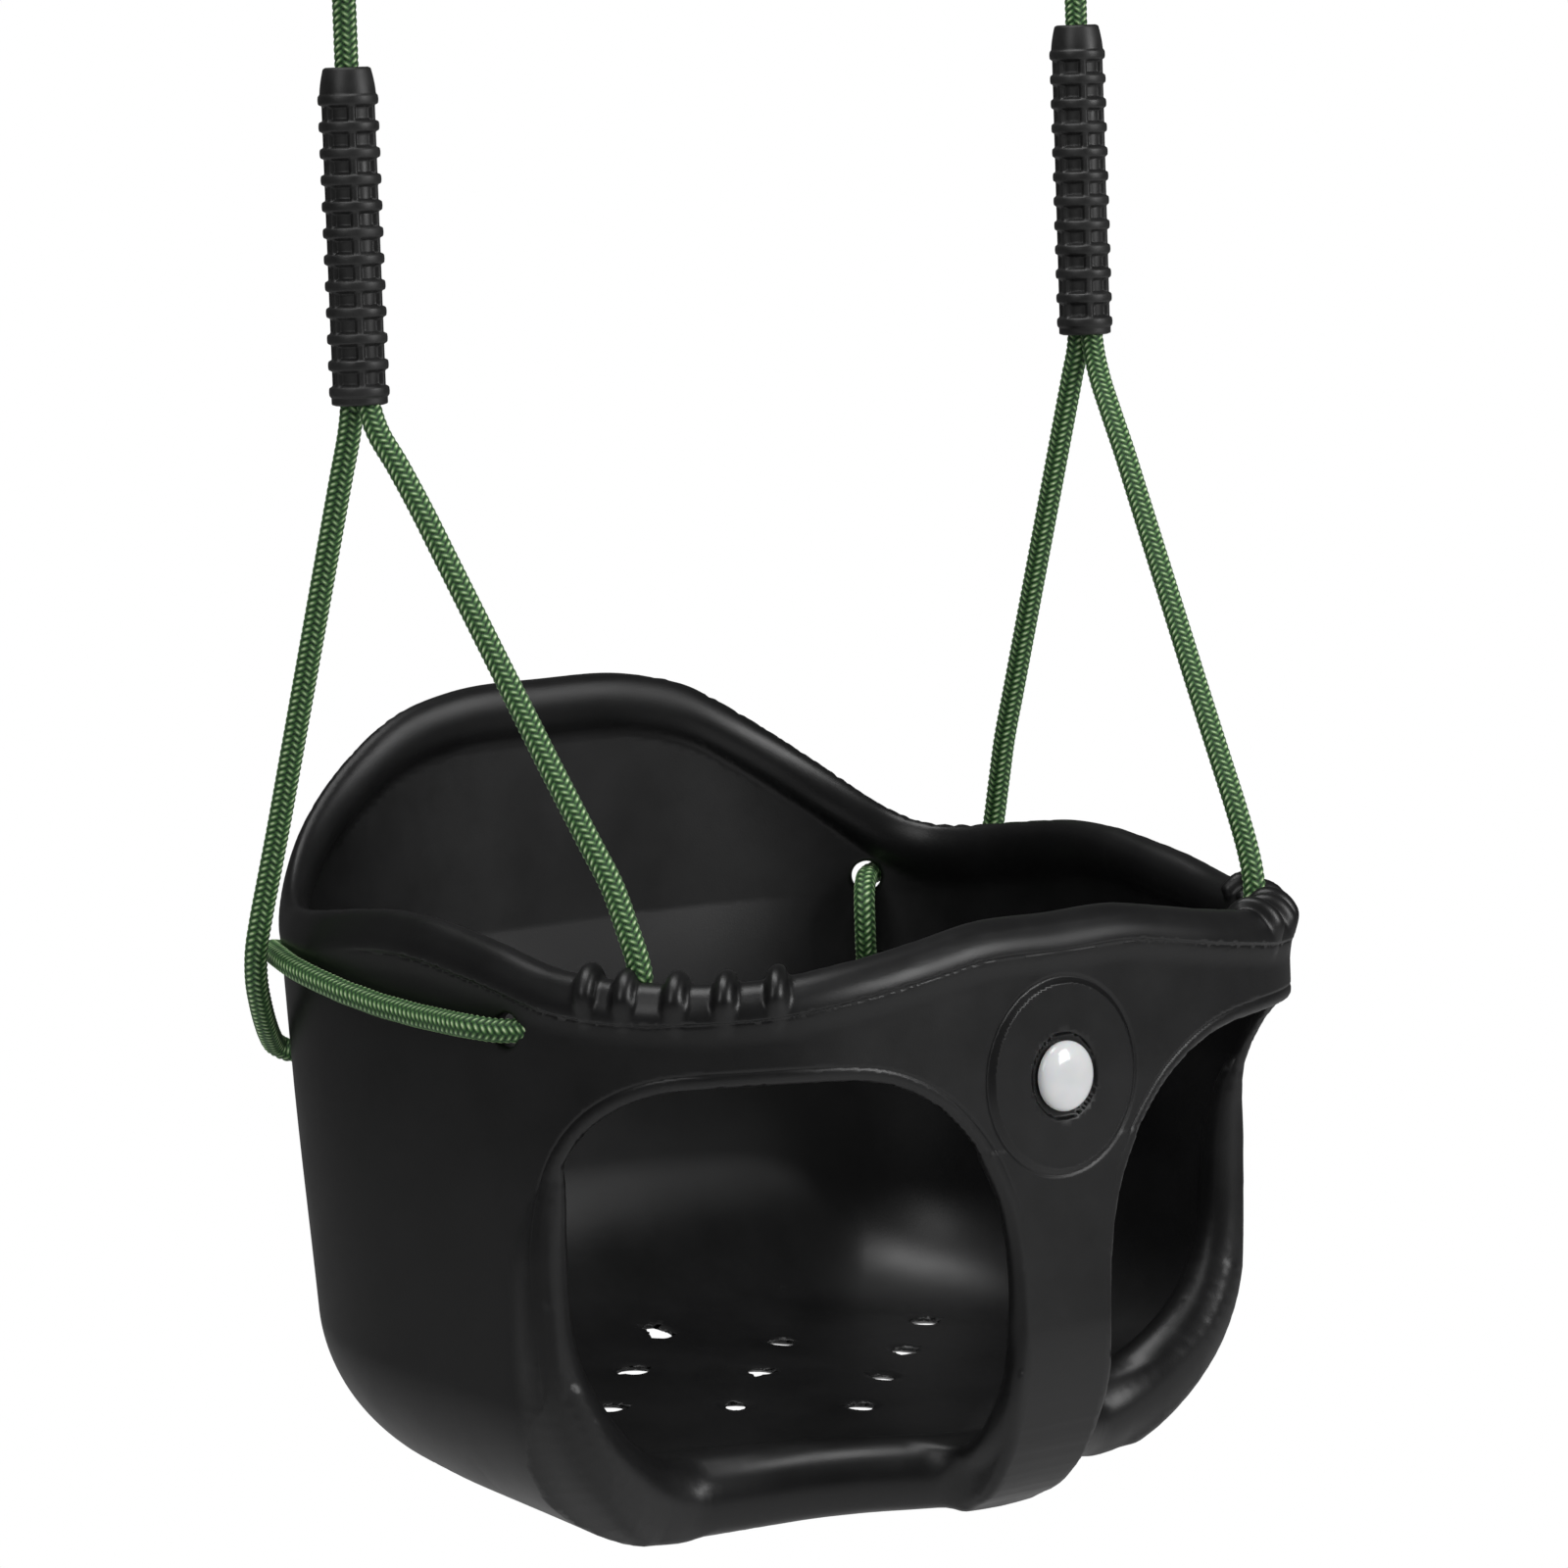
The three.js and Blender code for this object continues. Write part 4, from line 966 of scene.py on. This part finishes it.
def hollow_body(at):
    """Walls and floor without the rim's bead, and the hollow inside them."""
    within = at.z - floor_level(at.x, at.y) - FLOOR_WALL
    under = at.z - floor_under(at.x, at.y) - FLOOR_THINNED * ease(90, 70, at.x) * ease(-96, -84, at.y)
    plan_y = np.interp(at.u, WALK, WALK_Y)
    more = CORNER_MORE_BEHIND * ease(0.75, 1, np.sin(at.t)) - CORNER_LESS_BACK * ease(-70, 60, plan_y)
    flange = np.full(len(at.x), -80.0)
    near = np.nonzero((at.y < -15) & (at.z < 112) & (at.x > 60))[0]
    if len(near):
        behind = np.maximum(at.y[near] - FLANGE_STRAIGHT_Y, 0)
        flange[near] = beside_line(at.x[near], at.z[near], FLANGE_LINE) - FLANGE_FLARE * behind
    skin = np.maximum(-rounded_inside(at.depth, under, CORNER_R + more), flange)
    inside = rounded_inside(at.depth - WALL, within, CORNER_R_INSIDE + more)
    cavity = np.maximum(-inside, flange + FLOOR_WALL)
    body = np.maximum(skin, -cavity)
    return smooth_cut(body, at.rim - BEAD_TALL - at.z, RIM_CUT_BLEND), cavity


def rolled_rim(at, body):
    """Adds the rim's rolled bead, slimmer at the back, and the mould line below it."""
    across = BEAD_R - BEAD_SLIMMER * ease(215, 300, at.u)
    ex, ez = (at.depth - across) / across, (at.z - at.rim + BEAD_TALL) / BEAD_TALL
    level = np.maximum(np.hypot(ex, ez), 1e-6)
    bead = (level - 1) * level / np.maximum(np.hypot(ex / across, ez / BEAD_TALL), 1e-6)
    body = smooth_union(body, bead, BEAD_BLEND)
    below = at.rim - at.z - rim_line(at.u)
    outer = ease(5.5, -3.5, at.depth) * ease(300, 250, at.u)
    body = body - outer * MOULD_LINE_STEP * ease(0.6, -0.4, below) * ease(-14, -4, below)
    return body + outer * MOULD_LINE_DEEP * np.exp(-((below - 0.25) / MOULD_LINE_HALF) ** 2)


def add_ribs(at, body):
    """Adds the ribs over the rim, each as a bar that follows the bead round."""
    around = (np.abs(at.u - 143) < 45) & (at.z > 150)
    near = np.nonzero(around & (at.depth < 22) & (at.depth > -12) & (at.y < -60))[0]
    if not len(near):
        return
    dx, dz = at.depth[near] - BEAD_R, at.z[near] - at.rim[near] + BEAD_TALL
    start, end = RIB_TURN
    angle = np.arctan2(dz / BEAD_TALL, -dx / BEAD_R)
    angle = np.clip(angle, math.radians(start), math.radians(end))
    degrees = np.degrees(angle)
    low_end = ease(-start, start, degrees)
    reach = RIB_PROUD * (1 - 2 * low_end)
    px, pz = -(BEAD_R + reach) * np.cos(angle), (BEAD_TALL + reach) * np.sin(angle)
    width = RIB_R - 1.2 * low_end - 0.6 * ease(100, end, degrees)
    part = body[near]
    for rib in RIBS_U:
        knob = np.sqrt((at.u[near] - rib) ** 2 + (dx - px) ** 2 + (dz - pz) ** 2) - width
        part = smooth_union(part, knob, RIB_BLEND)
    body[near] = part


def cut_leg_openings(at, body):
    """Cuts the leg openings through wall and floor, and the crease beside each."""
    near = np.nonzero((at.t < 0.25) & (at.z < 175) & (at.depth < 60))[0]
    opening = np.full(len(at.x), 50.0)
    opening[near] = beside_line(at.u[near], at.z[near], LEG_LINE)
    upper = np.maximum(np.maximum(opening, LEG_LOW - at.z), at.depth - LEG_DEPTH)
    line_x, line_y = (np.array(v, float) for v in zip(*FLOOR_FRONT))
    ahead = (at.y - np.interp(at.x, line_x, line_y)) * 0.85
    lower = np.maximum(np.maximum(ahead, FLOOR_CUT_HALF_POST - at.x), at.z - FLOOR_CUT_TOP)
    body = smooth_cut(body, np.minimum(upper, lower), LEG_EDGE_ROUND)
    shown = np.maximum(ease(88, 118, at.z), ease(150, 170, at.u) * ease(30, 50, at.z))
    crease = np.exp(-((opening - CREASE_AT) / CREASE_HALF) ** 2) * ease(3.0, 1.5, np.abs(at.depth))
    return body + CREASE_DEEP * crease * shown


def add_front_bars(at, body):
    """Adds the rolled front edge and the post."""
    near = np.nonzero((at.y < -30) & (at.z < 135))[0]
    if len(near):
        blend = 1.0 + 7.0 * ease(112, 84, at.z[near])
        body[near] = smooth_union(body[near], swept(at.points[near], ROLL_PATH), blend)
    near = np.nonzero((at.y < -85) & (at.z < 130) & (at.x < 52))[0]
    if len(near):
        blend = 0.8 + 5.2 * ease(60, 20, at.z[near])
        post = post_at(at.x[near], at.y[near], at.z[near])
        body[near] = smooth_union(body[near], post, blend)


def add_boss(at, body):
    """Adds the round boss and the line round it, with the button's recess and hole."""
    near = np.nonzero((at.y < -120) & (at.x < 50) & (at.z > 85) & (at.z < 185))[0]
    if not len(near):
        return
    y = at.y[near]
    radial = np.hypot(at.x[near], at.z[near] - BOSS_Z)
    face = np.maximum(SEAT_FRONT_Y - BOSS_PROUD - y, y - SEAT_FRONT_Y - WALL)
    boss = np.maximum((radial - BOSS_R + SEAT_FRONT_Y - y) * 0.7, face)
    part = smooth_union(body[near], boss, 0.9)
    halo = np.exp(-((radial - BOSS_R - 0.9) / HALO_HALF) ** 2)
    part = part + HALO_DEEP * halo * ease(-146, -149, y)
    part = smooth_cut(part, np.maximum(radial - BUTTON_RECESS_R, y - SEAT_FRONT_Y), 1.2)
    body[near] = smooth_cut(part, radial - SHANK_R - 0.3, 0.5)


def cut_rope_holes(at, body):
    for place, inward in HOLE_FRAMES:
        gap = at.points - place
        along = gap @ inward
        close = np.einsum("ij,ij->i", gap, gap) < ROPE_HOLE_NEAR ** 2
        near = np.nonzero((np.abs(along) < 22) & close)[0]
        if len(near):
            across = np.linalg.norm(gap[near] - along[near, None] * inward, axis=1)
            body[near] = smooth_cut(body[near], across - ROPE_HOLE_R, ROPE_HOLE_ROUND)


def cut_drains(at, body, cavity):
    """Cuts each drain hole, with a shallow dish round it above and a cone below."""
    low = np.nonzero((at.z < 60) & (at.depth > 20))[0]
    if not len(low):
        return
    part = body[low]
    top = -cavity[low]
    for px, py in drain_places():
        if px < 0:
            continue
        away = np.hypot(at.x[low] - px, at.y[low] - py)
        part = smooth_cut(part, np.hypot(away, top - DISH_ABOVE) - DISH_R, 1.2)
        cone = away - DRAIN_R - DRAIN_CONE * np.maximum(-1.2 - top, 0)
        part = smooth_cut(part, cone * 0.36, 0.2)
    body[low] = part


def seat_distance(points):
    """Signed distance, about, to the moulded seat: negative inside the plastic."""
    at = SimpleNamespace(x=np.abs(points[:, 0]), y=points[:, 1], z=points[:, 2])
    at.points = np.stack([at.x, at.y, at.z], 1)
    outside, at.u, at.t = wall_at(at.x, at.y, at.z)
    at.depth = -outside
    at.rim = np.interp(at.u, RIM_U, RIM_H)
    body, cavity = hollow_body(at)
    body = rolled_rim(at, body)
    add_ribs(at, body)
    body = cut_leg_openings(at, body)
    add_front_bars(at, body)
    add_boss(at, body)
    cut_rope_holes(at, body)
    cut_drains(at, body, cavity)
    return body


# ---- seat: skin over the distance
GRID_STEP = 2.3
GRID_LOW = np.array([-164.0, -160.0, -26.0])
GRID_HIGH = np.array([164.0, 130.0, 260.0])
COARSE = 4
BATCH = 400_000
SLOPE_REACH = 0.15


def in_parts(points):
    """seat_distance in batches, to save memory."""
    return np.concatenate([seat_distance(points[i:i + BATCH]) for i in range(0, len(points), BATCH)])


def grid_places(low, high):
    return low + np.arange(int((high - low) / GRID_STEP) // COARSE * COARSE + COARSE) * GRID_STEP


def sampled_half():
    """Distances on the grid's right half, worked out closely only near the surface."""
    xs = grid_places(0.0, GRID_HIGH[0]) + GRID_STEP / 2
    ys = grid_places(GRID_LOW[1], GRID_HIGH[1])
    zs = grid_places(GRID_LOW[2], GRID_HIGH[2])
    middle = [v.reshape(-1, COARSE).mean(1) for v in (xs, ys, zs)]
    blocks = np.stack(np.meshgrid(*middle, indexing="ij"), -1).reshape(-1, 3)
    rough = in_parts(blocks)
    close = np.abs(rough) < COARSE * GRID_STEP * 1.35
    shape = tuple(len(m) for m in middle)
    volume = np.repeat(np.repeat(np.repeat(rough.reshape(shape), COARSE, 0), COARSE, 1), COARSE, 2)
    index = np.stack(np.unravel_index(np.nonzero(close)[0], shape), 1) * COARSE
    offset = np.stack(np.meshgrid(*[np.arange(COARSE)] * 3, indexing="ij"), -1).reshape(-1, 3)
    cells = (index[:, None] + offset[None]).reshape(-1, 3)
    places = np.stack([xs[cells[:, 0]], ys[cells[:, 1]], zs[cells[:, 2]]], 1)
    volume[cells[:, 0], cells[:, 1], cells[:, 2]] = in_parts(places)
    return volume, xs, ys, zs


def net(volume, origin):
    """Surface nets: a point in each cell that the surface crosses, a quad across each crossed edge."""
    inside = volume < 0
    count = np.zeros(tuple(n - 1 for n in volume.shape), np.int8)
    corners = [(i, j, k) for i in (0, 1) for j in (0, 1) for k in (0, 1)]
    nx, ny, nz = count.shape
    for i, j, k in corners:
        count += inside[i:i + nx, j:j + ny, k:k + nz]
    cells = np.stack(np.nonzero((count > 0) & (count < 8)), 1)
    number = np.full(count.shape, -1, np.int64)
    number[cells[:, 0], cells[:, 1], cells[:, 2]] = np.arange(len(cells))
    total = np.zeros((len(cells), 3))
    hits = np.zeros(len(cells))
    value = {c: volume[cells[:, 0] + c[0], cells[:, 1] + c[1], cells[:, 2] + c[2]] for c in corners}
    for a in corners:
        for axis in range(3):
            if a[axis]:
                continue
            b = tuple(v + (k == axis) for k, v in enumerate(a))
            va, vb = value[a], value[b]
            cross = (va < 0) != (vb < 0)
            share = np.where(cross, va / np.where(cross, va - vb, 1), 0)
            place = np.array(a, float)[None] + np.eye(3)[axis][None] * share[:, None]
            total += place * cross[:, None]
            hits += cross
    verts = (cells + total / hits[:, None]) * GRID_STEP + origin
    faces = []
    for axis in range(3):
        b, c = (axis + 1) % 3, (axis + 2) % 3
        low = [slice(None)] * 3
        high = [slice(None)] * 3
        low[axis], high[axis] = slice(0, -1), slice(1, None)
        cross = inside[tuple(low)] != inside[tuple(high)]
        edge = np.stack(np.nonzero(cross), 1)
        edge = edge[(edge[:, b] > 0) & (edge[:, c] > 0) & (edge[:, b] < volume.shape[b] - 1)
                    & (edge[:, c] < volume.shape[c] - 1)]
        db, dc = np.eye(3, dtype=int)[b], np.eye(3, dtype=int)[c]
        around = ((0, 0), (1, 0), (1, 1), (0, 1))
        quad = np.stack([number[tuple((edge - db * i - dc * j).T)] for i, j in around], 1)
        outward = inside[tuple(edge.T)]
        quad[~outward] = quad[~outward][:, ::-1]
        faces.append(quad)
    return verts, np.concatenate(faces)


def slopes(points):
    out = np.empty_like(points)
    for axis in range(3):
        move = np.zeros(3)
        move[axis] = SLOPE_REACH
        out[:, axis] = (in_parts(points + move) - in_parts(points - move)) / (2 * SLOPE_REACH)
    return out


def settle(points, most):
    """Moves points along the slope on to the surface, in two rounds of at most that far."""
    for _ in range(2):
        slope = slopes(points)
        size = np.maximum((slope ** 2).sum(1), 0.2)
        move = -(in_parts(points) / size)[:, None] * slope
        length = np.maximum(np.linalg.norm(move, axis=1), 1e-9)
        points = points + move * np.minimum(1, most / length)[:, None]
    return points


def fine_places(verts, reach):
    """Where the seat has small shapes that need closer points."""
    x, y, z = np.abs(verts[:, 0]), verts[:, 1], verts[:, 2]
    outside, u, _ = wall_at(x, y, z)
    rim = np.interp(u, RIM_U, RIM_H)
    wanted = (np.abs(rim - z - rim_line(u)) < reach) & (outside > -2) & (u < 304)
    near = np.nonzero((z > 48) & (z < 160) & (outside > -2) & (y < -50))[0]
    wanted[near] |= np.abs(beside_line(u[near], z[near], LEG_LINE) - CREASE_AT) < reach + 0.3
    radial = np.hypot(x, z - BOSS_Z)
    wanted |= (y < -146) & (np.abs(radial - BOSS_R - 0.4) < reach + 1.6)
    drain_reach = 5.6 if reach < 2 else 7.5
    for px, py in drain_places():
        wanted |= (np.hypot(verts[:, 0] - px, y - py) < drain_reach) & (z < 60)
    if reach < 2:
        return wanted
    wanted |= (u > 103) & (u < 183) & (z > rim - 16) & (outside > -16)
    wanted |= (y < -143) & (np.abs(radial - 9) < 8)
    mirrored = np.stack([x, y, z], 1)
    for place, _ in HOLE_FRAMES:
        wanted |= np.linalg.norm(mirrored - place, axis=1) < 13
    return wanted


def refine(verts, faces, reach):
    """Cuts each face near a small shape into four, and keeps the mesh closed."""
    mesh = bpy.data.meshes.new("refine")
    mesh.from_pydata(verts.tolist(), [], [list(map(int, f)) for f in faces])
    work = bmesh.new()
    work.from_mesh(mesh)
    bpy.data.meshes.remove(mesh)
    wanted = fine_places(verts, reach)
    edges = [e for e in work.edges if wanted[e.verts[0].index] and wanted[e.verts[1].index]]
    bmesh.ops.subdivide_edges(work, edges=edges, cuts=1, use_grid_fill=True)
    bmesh.ops.triangulate(work, faces=[f for f in work.faces if len(f.verts) > 4])
    out = bpy.data.meshes.new("refined")
    work.to_mesh(out)
    work.free()
    points = np.array([v.co[:] for v in out.vertices])
    polygons = [tuple(p.vertices) for p in out.polygons]
    bpy.data.meshes.remove(out)
    return points, polygons


def round_drains(verts):
    """Moves the points nearest each drain hole on to its circle."""
    for px, py in drain_places():
        offset = verts[:, :2] - [px, py]
        away = np.maximum(np.hypot(offset[:, 0], offset[:, 1]), 0.5)
        edge = (away < DRAIN_R + 0.45) & (verts[:, 2] < 60)
        verts[edge, :2] = [px, py] + offset[edge] * (DRAIN_R / away[edge])[:, None]


def make_seat():
    half, xs, ys, zs = sampled_half()
    volume = np.concatenate([half[::-1], half], 0)
    verts, faces = net(volume, np.array([-xs[-1], ys[0], zs[0]]))
    verts = settle(verts, 0.8)
    for reach, most in ((3.5, 0.6), (1.4, 0.4)):
        verts, faces = refine(verts, faces, reach)
        verts = settle(verts, most)
    round_drains(verts)
    normals = slopes(verts)
    normals /= np.maximum(np.linalg.norm(normals, axis=1), 1e-9)[:, None]
    piece = new_piece("seat_moulding", verts, faces, SEAT, "seat", normals=normals)
    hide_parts("seat_shell")


make_seat()

# ---- floor and light
FLOOR_Z = -1.05
FLOOR_HALF = 30.0
FELT_WORLD = 0.09
LIGHTS_AIM = Vector((0.0, 0.0, -0.45))


def make_floor():
    """A pale floor: the camera sees it white, as it does the world."""
    mesh = bpy.data.meshes.new("floor")
    corners = [(x * FLOOR_HALF, y * FLOOR_HALF, 0) for x, y in ((-1, -1), (1, -1), (1, 1), (-1, 1))]
    mesh.from_pydata(corners, [], [(0, 1, 2, 3)])
    look = Look("floor_pale", (0.92, 0.92, 0.92), 0.9)
    look.color(look.ramp(look.noise(1.5, 2.0), (0.3, 0.9), (0.7, 0.93)))
    glow = look.nodes.new("ShaderNodeEmission")
    glow.inputs["Color"].default_value = (1, 1, 1, 1)
    path = look.nodes.new("ShaderNodeLightPath")
    mix = look.nodes.new("ShaderNodeMixShader")
    look.link(path.outputs["Is Camera Ray"], mix.inputs["Fac"])
    look.link(look.shader.outputs["BSDF"], mix.inputs[1])
    look.link(glow.outputs["Emission"], mix.inputs[2])
    look.link(mix.outputs["Shader"], look.nodes["Material Output"].inputs["Surface"])
    mesh.materials.append(look.material)
    floor = bpy.data.objects.new("floor", mesh)
    floor.location.z = FLOOR_Z
    bpy.context.collection.objects.link(floor)


def make_light(name, place, size, power):
    data = bpy.data.lights.new(name, "AREA")
    data.shape = "RECTANGLE"
    data.size, data.size_y = size
    data.energy = power
    light = bpy.data.objects.new(name, data)
    light.location = place
    aim = LIGHTS_AIM - Vector(place)
    light.rotation_euler = aim.to_track_quat("-Z", "Y").to_euler()
    bpy.context.collection.objects.link(light)


def make_world():
    """White where the camera sees it, and a faint grey light on everything else."""
    world = bpy.data.worlds.new("studio")
    world.use_nodes = True
    nodes, links = world.node_tree.nodes, world.node_tree.links
    nodes.clear()
    felt, seen = (nodes.new("ShaderNodeBackground") for _ in range(2))
    for background, strength in ((felt, FELT_WORLD), (seen, 1.0)):
        background.inputs["Color"].default_value = (1, 1, 1, 1)
        background.inputs["Strength"].default_value = strength
    path = nodes.new("ShaderNodeLightPath")
    mix = nodes.new("ShaderNodeMixShader")
    out = nodes.new("ShaderNodeOutputWorld")
    links.new(path.outputs["Is Camera Ray"], mix.inputs["Fac"])
    links.new(felt.outputs["Background"], mix.inputs[1])
    links.new(seen.outputs["Background"], mix.inputs[2])
    links.new(mix.outputs["Shader"], out.inputs["Surface"])
    bpy.context.scene.world = world


make_world()
make_floor()
make_light("key_left", (-1.9, -0.6, 0.9), (0.8, 1.4), 12)
make_light("front_right", (1.1, -2.2, 0.5), (0.9, 1.2), 32)
make_light("top", (-0.3, -0.1, 1.4), (1.6, 0.7), 22)
bpy.context.scene.view_settings.view_transform = "Standard"
